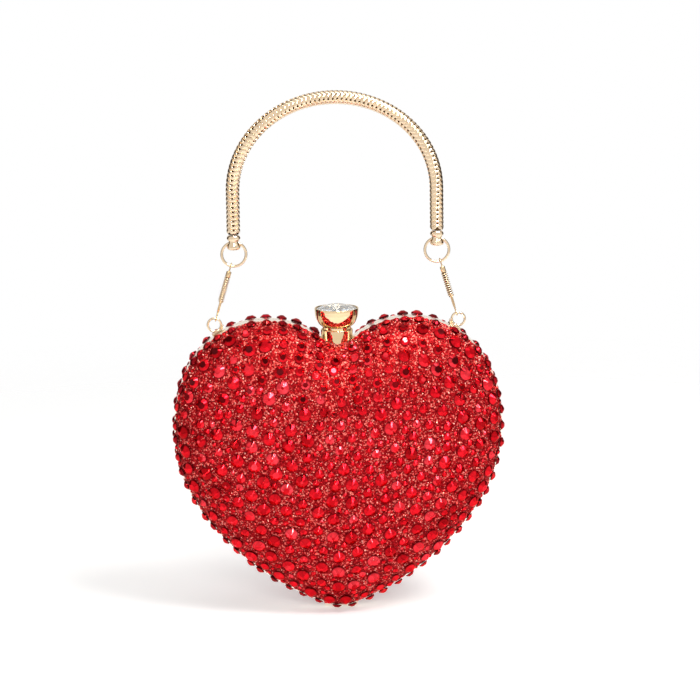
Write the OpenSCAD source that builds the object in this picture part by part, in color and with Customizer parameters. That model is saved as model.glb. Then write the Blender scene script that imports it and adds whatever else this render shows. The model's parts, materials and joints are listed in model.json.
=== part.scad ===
// Heart shaped evening purse, hung by its chain handle.
// Two domed heart halves sit in gilt frames, hinged at the tip and closed by a push clasp in the cleft.
// Each end of the handle is a cap, a ring and a wire hook that hangs on a lug of the rear frame.
// The origin is under the top of the handle, where a finger carries it. The front of the case faces -Y.

/* [Case outline] */
// Radius of each lobe
lobe_r = 40.8; // [36:0.2:46]
// Distance from the middle of the case to the centre of a lobe
lobe_x = 33.4; // [30:0.2:36]
// Height of the lobe centres above the widest part
lobe_z = 10.8; // [6:0.2:16]
// Radius of the flank below each lobe
flank_r = 69.6; // [60:0.5:80]
// Direction of the side at which lobe and flank meet, in degrees
flank_from = 20; // [10:1:26]
// Direction at which the flank meets the long lower side, in degrees
flank_to = -34.6; // [-42:0.2:-28]
// Radius of the long lower side
low_r = 121.6; // [110:0.5:140]
// Radius of the tip
tip_r = 19.2; // [14:0.2:24]
// Radius of the cleft between the lobes
cleft_r = 12; // [9:0.5:16]

/* [Shells] */
// Depth of each domed half behind its frame
dome_h = 20.2; // [16:0.2:30]
// Wall of the moulded shells
shell_t = 1.6; // [1.2:0.1:2.4]
// Thickness of the padded lining
lining_t = 0.8; // [0.6:0.1:1.4]
// Space between shell and lining
lining_gap = 0.5; // [0.4:0.1:1.2]

/* [Frames] */
// Width of each frame band, front to back
band_w = 3.7; // [2.6:0.1:5]
// Gap between the closed frames
part_gap = 0.3; // [0.2:0.05:0.6]
// How far the bands stand out from the shells
band_proud = 0.6; // [0.3:0.1:1]
// Thickness of the wall inside the frame that locates the shell
flange_t = 0.9; // [0.7:0.1:1.4]
// Height of that wall above the band
flange_h = 1.8; // [1.2:0.1:2.4]
// Height of the dust lip that reaches from the rear frame into the front one
lip_h = 1.2; // [0.6:0.1:1.6]
// Thickness of the dust lip
lip_t = 0.8; // [0.6:0.1:1.2]

/* [Crystals] */
// Diameter of the large crystals
large_d = 6.4; // [5.4:0.1:7]
// Diameter of the medium crystals
medium_d = 4.7; // [3.8:0.1:5.2]
// Height of the large crystals
large_h = 2.5; // [1.8:0.1:3.2]
// Height of the medium crystals
medium_h = 1.9; // [1.4:0.1:2.6]
// Mean space between the crystals of a row
stone_gap = 2; // [1.6:0.1:4]
// Space between the rows
row_gap = 1.8; // [1.6:0.1:4]
// Space between the crystals of the row beside the frame
rim_gap = 3; // [1.2:0.1:4]

/* [Handle] */
// Width of the handle between the middles of its legs
arch_w = 94; // [70:1:110]
// Rise of the arch above its straight legs
arch_rise = 42.5; // [34:0.5:60]
// Length of the straight legs
leg_len = 20.2; // [14:0.5:40]
// Diameter of the chain
chain_d = 6.3; // [5:0.1:8]
// Length of one scale of the chain
scale_len = 2.05; // [1.8:0.05:3]
// How far a scale's edge runs ahead at the points of its chevrons
chevron_len = 1; // [0.6:0.1:1.6]
// Height of the step from one scale to the next
scale_step = 0.3; // [0.15:0.05:0.5]
// Depth of the slit at the point of each chevron
slit_depth = 0.35; // [0.2:0.05:0.6]
// How far the columns of chevrons turn round the chain from its ends to its crown, in degrees
chain_twist = 80; // [0:5:90]

/* [Rings and hooks] */
// Diameter of the handle rings, to the middle of the wire
ring_d = 11.2; // [9.5:0.1:14]
// Wire of the handle rings
ring_wire = 1.3; // [1:0.05:1.6]
// Length of a hook between the two wires that it hangs on
hook_len = 25.6; // [22:0.2:34]
// Wire of the hooks and of their coils
hook_wire = 0.6; // [0.5:0.02:0.62]
// Diameter of a hook's eyes, to the middle of the wire
eye_d = 2.8; // [2.7:0.05:3.2]
// Diameter of a hook's coil, to the middle of the wire
coil_d = 2.2; // [2.16:0.02:2.8]
// Pitch of the coil
coil_pitch = 1.05; // [1.04:0.01:1.4]
// Number of turns in a coil
coil_turns = 9; // [6:1:12]
// Diameter of the lug rings, to the middle of the wire
lug_d = 6.1; // [5.4:0.1:8]
// Wire of the lug rings
lug_wire = 1.1; // [0.9:0.05:1.3]
// Direction in which the lugs stand on the lobes, in degrees
lug_turn = 59; // [54:0.5:64]

/* [Clasp] */
// Diameter of the crystal cup at its rim
cup_d = 20.5; // [18:0.1:22]
// Diameter of the cup's foot
foot_d = 13.2; // [12:0.1:13.6]
// Outer diameter of the drum round the foot
drum_d = 14.8; // [14.6:0.1:16]
// Height of the drum above the cleft
drum_h = 6; // [5:0.1:7]
// Height of the cup from foot to rim
cup_h = 12.7; // [10:0.1:14.5]
// Travel of the button
press = 1; // [0.8:0.1:1.6]
// Diameter of the stem
stem_d = 1.5; // [1.2:0.05:1.6]
// Wire of the return spring
spring_wire = 0.6; // [0.5:0.05:0.8]

/* [Hinge] */
// Diameter of the hinge barrel
barrel_d = 2.6; // [2.4:0.1:3.2]
// Length of the hinge barrel
barrel_len = 16; // [12:0.5:18]
// Diameter of the hinge pin
pin_d = 1.2; // [1:0.05:1.4]

/* [Hidden] */
$fn = 48;

gilt = [0.86, 0.75, 0.58];
steel = [0.7, 0.7, 0.72];
ruby = [0.74, 0.1, 0.14];
ruby_light = [0.86, 0.2, 0.24];
clear = [0.9, 0.93, 0.95];
base_red = [0.4, 0.02, 0.05];
satin = [0.78, 0.68, 0.55];

// Clearances, each written once.
// Overrun of a cutting tool past what it cuts
over = 1;
// Air between seated faces that are not quite true to each other
seat = 0.05;
// Air between pieces that move past each other
clear_gap = 0.3;
// Radial clearance of a pin or stem in its bore
fit = 0.05;
// Resin bed between a shell and its crystals
resin = 0.32;

// Directions and curves.
function unit(a) = [cos(a), sin(a)];
// A curve of n steps from a to c that leaves towards b and arrives from it.
function bend(a, b, c, n) = [
    for (i = [0:n]) let (t = i / n) (1 - t) * (1 - t) * a + 2 * t * (1 - t) * b + t * t * c
];

// Centres of the arcs of the right half outline, chained so that each arc runs smoothly into the next.
lobe_c = [lobe_x, lobe_z];
flank_c = lobe_c + (lobe_r - flank_r) * unit(flank_from);
low_c = flank_c + (flank_r - low_r) * unit(flank_to);
tip_from = -acos(-low_c.x / (low_r - tip_r));
tip_c = [0, low_c.y + (low_r - tip_r) * sin(tip_from)];
function cleft_c(r) = [0, lobe_z + sqrt(pow(r + lobe_r, 2) - pow(lobe_x, 2))];
function cleft_turn(r) = atan2(cleft_c(r).y - lobe_z, -lobe_x);
cleft_z = cleft_c(cleft_r).y - cleft_r;
tip_z = tip_c.y - tip_r;

// The arcs of the right half from the cleft to the tip: centre, radius, first and last direction.
function arcs(grow, r) = [
    [cleft_c(r), r - grow, -90, cleft_turn(r) - 180],
    [lobe_c, lobe_r + grow, cleft_turn(r), flank_from],
    [flank_c, flank_r + grow, flank_from, flank_to],
    [low_c, low_r + grow, flank_to, tip_from],
    [tip_c, tip_r + grow, tip_from, -90]
];
// Where each arc ends along the half outline, and the facets that it gets.
arc_end_shares = [0, 0.035, 0.37, 0.655, 0.97, 1];
arc_facets = [2, 11, 6, 6, 3];

function arc_point(arc, t) = arc[0] + arc[1] * unit(arc[2] + (arc[3] - arc[2]) * t);
function arc_index(h) = len([for (i = [1:4]) if (h > arc_end_shares[i]) i]);
function half_at(h, grow, r) =
    let (i = arc_index(h), a = arc_end_shares[i], b = arc_end_shares[i + 1])
    arc_point(arcs(grow, r)[i], (h - a) / (b - a));
// A point of the whole outline. t runs from 0 at the cleft over 1 at the tip and back up to 2.
function outline_at(t, grow, r) =
    let (p = half_at(t <= 1 ? t : 2 - t, grow, r)) t <= 1 ? p : [-p.x, p.y];
function half_steps(finer) = [
    for (i = [0:4]) for (j = [0:arc_facets[i] * finer - 1])
        arc_end_shares[i] + (arc_end_shares[i + 1] - arc_end_shares[i]) * j / (arc_facets[i] * finer)
];
function loop_of(half) = concat(half, [1], [for (i = [len(half) - 1:-1:1]) 2 - half[i]]);
loop_steps = loop_of(half_steps(1));
fine_steps = loop_of(half_steps(2));

// The case stands behind the handle's plane by half a band, because the lugs sit on the rear frame.
band_y = part_gap / 2;
band_back = band_y + band_w;
link_y = band_y + band_w / 2;

// Inner steps of the frames, all measured inwards from the edge of the shells.
flange_gap = 0.6;
flange_out = shell_t + flange_gap;
flange_in = flange_out + flange_t;
lip_out = flange_in + clear_gap;
lip_in = lip_out + lip_t;

// The lug ring, the hook and the handle ring, seen from the front: x and height above the case's middle.
saddle_t = 0.9;
saddle_len = 6.6;
saddle_w = 2.2;
neck_len = 2.6;
neck_h = 1.7;
lug_reach = lobe_r + band_proud + saddle_t + lug_d / 2;
lug_c = lobe_c + lug_reach * unit(lug_turn);
link_len = hook_len + ring_d / 2 + lug_d / 2;
lean = asin((lug_c.x - arch_w / 2) / link_len);
ring_c = [arch_w / 2, lug_c.y + link_len * cos(lean)];
hook_top = ring_c + ring_d / 2 * [sin(lean), -cos(lean)];
cap_z = ring_c.y + ring_d / 2;

// End cap, measured from the wire that it hangs on.
cap_up = 3.3;
cap_down = 3.6;
leg_z = cap_z + cap_up;
spring_z = leg_z + leg_len;
grip_z = spring_z + arch_rise - chain_d / 2;

// A place in the case, given from the middle of its parting plane.
module in_case() {
    translate([0, -link_y, -grip_z]) children();
}

// A place on the handle's plane, given from the height of the case's middle.
module on_links(side) {
    mirror([side < 0 ? 1 : 0, 0, 0]) translate([0, 0, -grip_z]) children();
}

// A flat outline made into a plate that reaches from y to y + thick, with the outline's y as height.
module slab(y, thick) {
    translate([0, y + thick, 0]) rotate([90, 0, 0]) linear_extrude(thick) children();
}

// A front piece is the mirror image of a rear one.
module to_front() {
    mirror([0, 1, 0]) children();
}

// The whole outline as a flat shape, grown outwards or inwards.
module heart(grow = 0) {
    polygon([for (t = fine_steps) outline_at(t, grow, cleft_r)]);
}

module heart_ring(outside, inside) {
    difference() {
        heart(outside);
        heart(inside);
    }
}

// Faces of a lofted surface. A strip joins two loops of n points, and a fan closes a loop on one point.
function strip(a, b, n) = [
    for (j = [0:n - 1]) let (k = (j + 1) % n) each [[a + j, b + j, b + k], [a + j, b + k, a + k]]
];
function fan(a, tip, n) = [for (j = [0:n - 1]) [a + j, tip, a + (j + 1) % n]];
function fan_back(a, tip, n) = [for (j = [0:n - 1]) [a + (j + 1) % n, tip, a + j]];

// The dome of a half. t runs round the outline and u falls from 90 degrees at the rim to 0 at the top.
// The cleft's radius grows towards the top, so that its crease fades on the way.
dome_curve_share = 0.9;
cleft_fade_share = 0.08;
pole_share = 0.37;
pole = [0, cleft_z + (tip_z - cleft_z) * pole_share];
function dome_point(t, u, grow, depth, y) =
    let (
        v = pow(sin(u), dome_curve_share),
        r = cleft_r / pow(max(v, cleft_fade_share), 2),
        p = pole + v * (outline_at(t, grow, r) - pole)
    )
    [p.x, y + depth * pow(cos(u), dome_curve_share), p.y];

// A bowl with a dome outside and a smaller one inside, open towards the frame.
module bowl(grow, depth, wall, y, rings) {
    n = len(loop_steps);
    function side(g, d) = [
        for (k = [0:rings - 1]) for (t = loop_steps) dome_point(t, 90 * (1 - k / rings), g, d, y)
    ];
    outer = concat(side(grow, depth), [dome_point(0, 0, grow, depth, y)]);
    inner = concat(side(grow - wall, depth - wall), [dome_point(0, 0, grow - wall, depth - wall, y)]);
    first = len(outer);
    last = n * (rings - 1);
    polyhedron(concat(outer, inner), concat(
        [for (k = [0:rings - 2]) each strip(n * k, n * (k + 1), n)],
        fan(last, first - 1, n),
        [for (k = [0:rings - 2]) each strip(first + n * (k + 1), first + n * k, n)],
        fan_back(first + last, 2 * first - 1, n),
        strip(first, 0, n)
    ), convexity = 6);
}

// Handle: a flat-lying arch path, given by its length from the foot of the right leg.
function arch_at(a) = [arch_w / 2 * cos(a), spring_z + arch_rise * sin(a)];
arch_steps = 90;
arch_table = [
    for (i = 0, s = 0; i <= arch_steps;
        s = s + norm(arch_at(180 * (i + 1) / arch_steps) - arch_at(180 * i / arch_steps)), i = i + 1)
        [s, 180 * i / arch_steps]
];
arch_len = arch_table[arch_steps][0];
path_len = arch_len + 2 * leg_len;
function path_at(s) =
    s < leg_len ? [arch_w / 2, leg_z + s]
    : s < leg_len + arch_len ? arch_at(lookup(s - leg_len, arch_table))
    : [-arch_w / 2, leg_z + path_len - s];
path_step = 0.1;
function path_dir(s) =
    let (d = path_at(s + path_step) - path_at(s - path_step)) d / norm(d);

// The chain is pressed in scales. Each has four chevrons, whose points stand in four columns along the chain,
// and it ends in a step with a slit at each point. The columns turn round the chain towards its crown.
chevron_count = 4;
chain_sides = 4 * chevron_count;
scale_end_share = 0.85;
scale_count = round(path_len / scale_len);
scale_pitch = path_len / scale_count;
function chain_turn(s) = chain_twist * pow(sin(180 * s / path_len), 2);
function chain_ring(s, r, slit = 0) = [
    for (i = [0:chain_sides - 1])
        let (
            point = 1 - abs(sin(180 * i * chevron_count / chain_sides)),
            fade = min(1, min(s, path_len - s) / (2 * chevron_len)),
            at = s + fade * chevron_len * point,
            a = 360 * i / chain_sides + chain_turn(at),
            out = r - slit * pow(point, 2),
            p = path_at(at),
            d = path_dir(at)
        )
        [p.x - out * cos(a) * d.y, out * sin(a), p.y + out * cos(a) * d.x]
];
module handle_chain() {
    r = chain_d / 2;
    rings = concat(
        [for (j = [0:scale_count - 1]) each [
            chain_ring(j * scale_pitch, r),
            chain_ring((j + scale_end_share) * scale_pitch, r - scale_step, slit_depth)
        ]],
        [chain_ring(path_len, r)]
    );
    count = len(rings);
    n = chain_sides;
    foot = [arch_w / 2, 0, leg_z];
    color(gilt) on_links(1) polyhedron(
        concat([for (ring = rings) each ring], [foot, [-foot.x, 0, foot.z]]),
        concat(
            [for (k = [0:count - 2]) each strip(n * k, n * (k + 1), n)],
            fan_back(0, n * count, n),
            fan(n * (count - 1), n * count + 1, n)
        ), convexity = 8);
}

// End cap: a bead at the chain, a waist that the ring passes through, and a flared bell below it.
cap_bead_r = 3.05;
cap_waist_r = 2.4;
cap_bell_r = 3.3;
cap_waist_z = 0.7;
cap_bell_z = -1.5;
cap_curve_steps = 5;
ring_bore_r = ring_wire / 2 + clear_gap;
module end_cap(side) {
    bell = [cap_bell_r, cap_bell_z];
    profile = concat(
        [[0, -cap_down]],
        bend([cap_waist_r / 2, -cap_down], [cap_bell_r, -cap_down], bell, cap_curve_steps),
        bend(bell, [cap_waist_r, 0], [cap_waist_r, cap_waist_z], cap_curve_steps),
        bend([cap_waist_r, cap_waist_z], [cap_bead_r, cap_waist_z], [cap_bead_r, cap_up / 2 + cap_waist_z],
            cap_curve_steps),
        [[cap_bead_r, cap_up - seat], [0, cap_up - seat]]
    );
    // The ring curves away from a straight bore, so the bore widens towards both mouths.
    dip = ring_d / 2 - sqrt(pow(ring_d / 2, 2) - pow(cap_bell_r, 2));
    mouth = [ring_bore_r, 0];
    flare = [ring_bore_r + dip, cap_bell_r + over];
    color(gilt) on_links(side) translate([arch_w / 2, 0, cap_z]) difference() {
        rotate_extrude() polygon(profile);
        for (end = [0, 1]) mirror([end, 0, 0]) rotate([0, 90, 0])
            rotate_extrude() polygon([[0, -over], [mouth.x, -over], mouth, flare, [0, flare.y]]);
    }
}

module wire_ring(d, wire) {
    rotate([90, 0, 0]) rotate_extrude() translate([d / 2, 0]) circle(d = wire);
}

module handle_ring(side) {
    color(gilt) on_links(side) translate([ring_c.x, 0, ring_c.y]) wire_ring(ring_d, ring_wire);
}

// A place on a hook, with z up the hook and its upper wire at the origin.
module on_hook(side) {
    on_links(side) translate([hook_top.x, 0, hook_top.y]) rotate([0, -lean, 0]) children();
}

// Hook: two wires side by side between two eyes, with a collar at each end of the coil.
shank_gap = 0.04;
collar_t = 0.5;
coil_start = 5.2;
bend_r = 0.5;
hook_slack = eye_d / 2 - hook_wire / 2 - clear_gap;
coil_len = coil_turns * coil_pitch + 2 * (hook_wire + bend_r);
module hook(side) {
    top_eye = hook_slack - ring_wire / 2;
    low_eye = hook_slack - lug_wire / 2;
    shank_x = (hook_wire + shank_gap) / 2;
    shank_top = -top_eye - eye_d / 2;
    shank_end = -hook_len + low_eye + eye_d / 2;
    color(gilt) on_hook(side) {
        translate([0, 0, -top_eye]) rotate([0, 0, 90]) wire_ring(eye_d, hook_wire);
        translate([0, 0, -hook_len + low_eye]) rotate([0, 0, 90]) wire_ring(eye_d, hook_wire);
        for (y = [-shank_x, shank_x])
            translate([0, y, shank_end]) cylinder(h = shank_top - shank_end, d = hook_wire);
        for (z = [-coil_start, -coil_start - coil_len - 2 * seat - collar_t])
            translate([0, 0, z]) cylinder(h = collar_t, d = coil_d + hook_wire);
    }
}

// A wound wire that stands on z = 0: straight for one wire, bent round into the turns, and out the same way.
turn_steps = 8;
bend_steps = 3;
function coil_end(r, wire, i) =
    let (a = 90 * i / bend_steps) [r, bend_r * (1 - cos(a)), wire + bend_r * sin(a)];
function coil_path(r, wire, pitch, turns) =
    let (
        lead = asin(bend_r / r),
        climb = turns * pitch,
        foot = concat([[r, 0, 0]], [for (i = [0:bend_steps - 1]) coil_end(r, wire, i)]),
        whole = 360 * turns - 2 * lead,
        count = round(whole / 360 * turn_steps),
        top = climb + 2 * (wire + bend_r),
        wound = [for (i = [0:count])
            let (a = lead + whole * i / count)
            [r * cos(a), r * sin(a), wire + bend_r + climb * i / count]]
    )
    concat(foot, wound, [for (i = [len(foot) - 1:-1:0]) [foot[i].x, -foot[i].y, top - foot[i].z]]);
function wire_ring_points(path, i, wire, n) =
    let (
        last = len(path) - 1,
        d = path[min(i + 1, last)] - path[max(i - 1, 0)],
        along = d / norm(d),
        flat = [path[i].x, path[i].y, 0],
        out = flat - (flat * along) * along,
        side = out / norm(out),
        up = cross(along, side)
    )
    [for (k = [0:n - 1]) path[i] + wire / 2 * (cos(360 * k / n) * side + sin(360 * k / n) * up)];
wire_sides = 6;
module wound_wire(path, wire) {
    n = wire_sides;
    count = len(path);
    points = [for (i = [0:count - 1]) each wire_ring_points(path, i, wire, n)];
    polyhedron(concat(points, [path[0], path[count - 1]]), concat(
        [for (k = [0:count - 2]) each strip(n * (k + 1), n * k, n)],
        fan(0, n * count, n),
        fan_back(n * (count - 1), n * count + 1, n)
    ), convexity = 8);
}
function least_gap(path, wire) = min([
    for (i = [0:len(path) - 1]) for (j = [i + turn_steps - 1:1:len(path) - 1]) norm(path[i] - path[j])
]) - wire;

hook_coil_path = coil_path(coil_d / 2, hook_wire, coil_pitch, coil_turns);
echo("least gap between the turns of a hook coil, mm", least_gap(hook_coil_path, hook_wire));

module hook_coil(side) {
    color(gilt) on_hook(side) translate([0, 0, -coil_start - seat - coil_len])
        wound_wire(hook_coil_path, hook_wire);
}

// Lug: a saddle on the rear band that carries a small upright ring.
module lug(side) {
    reach = lobe_r + band_proud;
    color(gilt) in_case() mirror([side < 0 ? 1 : 0, 0, 0])
        translate([lobe_x, 0, lobe_z]) rotate([0, 90 - lug_turn, 0]) {
            difference() {
                slab(link_y - saddle_w / 2, saddle_w) polygon([
                    [-saddle_len / 2, reach - saddle_t], [saddle_len / 2, reach - saddle_t],
                    [saddle_len / 2, reach + saddle_t / 2], [neck_len / 2, reach + neck_h],
                    [-neck_len / 2, reach + neck_h], [-saddle_len / 2, reach + saddle_t / 2]
                ]);
                rotate([90, 0, 0]) cylinder(h = 4 * band_w, r = reach + seat, center = true, $fn = 240);
            }
            translate([0, link_y, lug_reach]) wire_ring(lug_d, lug_wire);
        }
}

// Case halves.
module half_shell() {
    bowl(0, dome_h, shell_t, band_back + seat, 11);
}

module half_lining() {
    bowl(-lip_out, dome_h - shell_t - lining_gap, lining_t, band_back + seat, 9);
}

// The frames give way to the hinge barrel at the tip.
hinge_drop = 0.3;
hinge_z = tip_z - band_proud - hinge_drop;
module barrel_notch() {
    translate([0, 0, hinge_z]) rotate([0, 90, 0])
        cylinder(h = barrel_len + 2 * clear_gap, r = barrel_d / 2 + clear_gap, center = true);
}

// The catch tongue's arms and the stem pass the dust lip under the cleft.
tongue_w = 7.6;
arm_w = 2;
module rear_frame() {
    color(gilt) in_case() difference() {
        union() {
            slab(band_y, band_w) heart_ring(band_proud, -lip_in);
            slab(band_y, band_w + flange_h) heart_ring(-flange_out, -flange_in);
            slab(-lip_h, lip_h + band_w) heart_ring(-lip_out, -lip_in);
        }
        barrel_notch();
        translate([-tongue_w / 2 - clear_gap, -lip_h - over, cleft_z - 2 * lip_in])
            cube([tongue_w + 2 * clear_gap, lip_h + over + band_y, 2 * lip_in]);
        translate([0, link_y, cleft_z - 2 * lip_in])
            cylinder(h = 3 * lip_in, r = stem_d / 2 + fit);
    }
}

module front_frame() {
    color(gilt) in_case() to_front() difference() {
        union() {
            slab(band_y, band_w) heart_ring(band_proud, -flange_in);
            slab(band_y, band_w + flange_h) heart_ring(-flange_out, -flange_in);
        }
        barrel_notch();
    }
}

module rear_shell() {
    color(base_red) in_case() half_shell();
}

module front_shell() {
    color(base_red) in_case() to_front() half_shell();
}

module rear_lining() {
    color(satin) in_case() half_lining();
}

module front_lining() {
    color(satin) in_case() to_front() half_lining();
}

// Hinge at the tip: five knuckles on one pin, three on the rear leaf and two on the front one.
knuckle_count = 5;
leaf_t = 0.6;
leaf_rise = 2.4;
module knuckles(first) {
    pitch = barrel_len / knuckle_count;
    long = pitch - clear_gap;
    color(gilt) in_case() difference() {
        for (i = [first:2:knuckle_count - 1])
            translate([(i - knuckle_count / 2) * pitch + clear_gap / 2, 0, hinge_z]) {
                rotate([0, 90, 0]) cylinder(h = long, d = barrel_d);
                mirror([0, first, 0]) translate([0, band_y + seat, -leaf_t])
                    cube([long, band_w - seat, leaf_t + leaf_rise]);
            }
        translate([0, 0, tip_c.y]) rotate([90, 0, 0])
            cylinder(h = 4 * band_w, r = tip_r + band_proud + seat, center = true, $fn = 120);
        translate([-barrel_len, 0, hinge_z]) rotate([0, 90, 0])
            cylinder(h = 2 * barrel_len, r = pin_d / 2 + fit);
    }
}

module hinge_pin() {
    color(steel) in_case() translate([-barrel_len / 2, 0, hinge_z]) rotate([0, 90, 0])
        cylinder(h = barrel_len, d = pin_d);
}

// Crystals lie in rows that follow the outline, spaced along the dome from the frame to its top.
function shell_at(t, u) = dome_point(t, u, 0, dome_h, band_back + seat);
meridian_steps = 60;
meridian_share = 0.5;
meridian = [
    for (i = 0, s = 0; i <= meridian_steps;
        s = s + (i < meridian_steps ? norm(shell_at(meridian_share, 90 - 90 * (i + 1) / meridian_steps)
            - shell_at(meridian_share, 90 - 90 * i / meridian_steps)) : 0), i = i + 1)
        [s, 90 - 90 * i / meridian_steps]
];
meridian_len = meridian[meridian_steps][0];
loop_parts = 120;
function loop_table(u) = [
    for (i = 0, s = 0, step = 2 / loop_parts; i <= loop_parts;
        s = s + norm(shell_at((i + 1) * step % 2, u) - shell_at(i * step % 2, u)), i = i + 1)
        [s, i * step]
];
turn_step = 0.5;
loop_step = 0.004;
function shell_normal(t, u) =
    let (
        a = shell_at((t + loop_step) % 2, u) - shell_at((t + 2 - loop_step) % 2, u),
        b = shell_at(t, u - turn_step) - shell_at(t, min(90, u + turn_step)),
        c = cross(a, b)
    )
    c / norm(c);

// A row gives each crystal as [t, u, pick], where pick is a share that chooses its size.
// Each row starts at a place of its own. Its crystals stray along it and across it, by a share of the space
// that they have there, so that no columns show. Beside the cleft the rows crowd, so they only stray along.
// cleft_zone_share is the share of the outline beside the cleft, which takes only medium crystals.
cleft_zone_share = 0.16;
scatter_share = 0.42;
stray_share = 0.3;
function row_turn(away) = max(turn_step, lookup(away, meridian));
function row_stones(row, away, d, gap, across) =
    let (
        table = loop_table(row_turn(away)),
        whole = table[loop_parts][0],
        count = max(1, floor(whole / (d + gap))),
        start = rands(0, 1, 1, start_seed + row)[0],
        shift = rands(-scatter_share, scatter_share, count, shift_seed + row),
        stray = rands(-stray_share, stray_share, count, stray_seed + row),
        pick = rands(0, 1, count, pick_seed + row)
    )
    [for (i = [0:count - 1])
        let (
            at = (i + start) * whole / count + shift[i] * gap,
            t = lookup((at + whole) % whole, table) % 2,
            free = min(t, 2 - t) > cleft_zone_share ? across : 0
        )
        [t, row_turn(away + stray[i] * free), pick[i]]];
shift_seed = 40;
pick_seed = 80;
start_seed = 120;
stray_seed = 160;

rim_away = medium_d / 2 + clear_gap + seat;
next_away = rim_away + medium_d / 2 + large_d / 2 + seat + stray_share * row_gap;
row_pitch = large_d + row_gap;
row_count = floor((meridian_len - next_away) / row_pitch);
rim_stones = row_stones(0, rim_away, medium_d, rim_gap, 0);
face_stones = [
    for (row = [0:row_count])
        each row_stones(row + 1, next_away + row * row_pitch, large_d, stone_gap, row_gap)
];
// Share of large crystals
large_share = 0.62;
function is_large(s) = s[2] < large_share && min(s[0], 2 - s[0]) > cleft_zone_share;

// The clasp's drum stands on the frames, so the crystals keep clear of it.
function is_clear(p, d) =
    p.z < pole.y || norm([p.x, p.y - link_y]) > drum_d / 2 + d / 2 + clear_gap
        && norm([p.x, p.y + link_y]) > drum_d / 2 + d / 2 + clear_gap;

girdle_share = 0.2;
table_share = 0.3;
module crystal(s, d, h) {
    p = shell_at(s[0], s[1]);
    n = shell_normal(s[0], s[1]);
    if (is_clear(p, d))
        translate(p + resin * n) rotate([0, acos(n.z), atan2(n.y, n.x)]) rotate_extrude() polygon([
            [0, 0], [d / 2, 0], [d / 2, h * girdle_share], [d / 2 * table_share, h], [0, h]
        ]);
}

module large_crystals() {
    for (s = face_stones) if (is_large(s)) crystal(s, large_d, large_h);
}

module medium_crystals() {
    for (s = face_stones) if (!is_large(s)) crystal(s, medium_d, medium_h);
}

module rim_crystals() {
    for (s = rim_stones) crystal(s, medium_d, medium_h);
}

module rear_large_crystals() {
    color(ruby) in_case() large_crystals();
}

module rear_medium_crystals() {
    color(ruby_light) in_case() medium_crystals();
}

module rear_rim_crystals() {
    color(ruby) in_case() rim_crystals();
}

module front_large_crystals() {
    color(ruby) in_case() to_front() large_crystals();
}

module front_medium_crystals() {
    color(ruby_light) in_case() to_front() medium_crystals();
}

module front_rim_crystals() {
    color(ruby) in_case() to_front() rim_crystals();
}

// Clasp: the cup and its stem slide down through the drum and the rear frame, against a spring.
// Heights are taken from the middle of the case.
cup_wall = 0.6;
drum_wall = 0.5;
drum_floor_t = 2.1;
boss_r = 2.2;
pocket_h = 3.4;
bowl_floor = 5.2;
socket_h = 2.5;
drum_top = cleft_z + drum_h + band_proud;
drum_floor = cleft_z + band_proud + drum_floor_t;
// Height of the frame beside the foot of the cup, which the pressed cup must not touch
flank_h = cleft_c(cleft_r).y - sqrt(pow(cleft_r - band_proud, 2) - pow(foot_d / 2, 2));
cup_foot = flank_h + clear_gap + press;
// Height on the cup where its bowl starts to flare, so that the pressed bowl stays above the drum
waist_h = drum_top + clear_gap + press - cup_foot;

module at_clasp(z) {
    in_case() translate([0, link_y, z]) children();
}

module clasp_base() {
    color(gilt) difference() {
        at_clasp(cleft_z) difference() {
            cylinder(h = drum_top - cleft_z, d = drum_d);
            translate([0, 0, drum_floor - cleft_z]) cylinder(h = drum_h, d = drum_d - 2 * drum_wall);
            translate([0, 0, -over]) cylinder(h = drum_h, r = stem_d / 2 + fit);
        }
        in_case() slab(-drum_d, 2 * drum_d) heart(band_proud + seat);
        in_case() slab(-drum_d, drum_d + seat) heart(band_proud + clear_gap);
    }
}

cup_curve_steps = 8;
// Height at which the cup's flare turns upright, as a share of its width
belly_share = 0.55;
module clasp_cup() {
    foot_r = foot_d / 2;
    rim_r = cup_d / 2;
    bore_r = stem_d / 2 + fit;
    bowl_r = rim_r - cup_wall;
    waist = [foot_r, waist_h];
    belly = [rim_r - cup_wall / 2, waist_h + belly_share * (rim_r - foot_r)];
    outside = bend(waist, belly, [rim_r, cup_h - cup_wall], cup_curve_steps);
    floor_end = [boss_r, bowl_floor];
    inside = bend([bowl_r, cup_h - 2 * cup_wall], [bowl_r, bowl_floor], floor_end, cup_curve_steps);
    color(gilt) at_clasp(cup_foot) rotate_extrude() polygon(concat(
        [[bore_r, 0], [boss_r, 0], [boss_r, pocket_h], [foot_r - cup_wall, pocket_h], [foot_r - cup_wall, 0]],
        [[foot_r, 0]],
        outside,
        [[rim_r, cup_h], [bowl_r, cup_h]],
        inside,
        [[0, bowl_floor], [0, socket_h], [bore_r, socket_h]]
    ));
}

// The crystal is cut in tiers of triangular facets: radius as a share of the girdle, height as a share.
gem_sides = 14;
crown_shares = [[0.42, 1], [0.78, 0.72], [0.97, 0.22], [1, 0]];
pavilion_shares = [[1, 0.04], [0.64, 0.6], [0.2, 1]];
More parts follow.
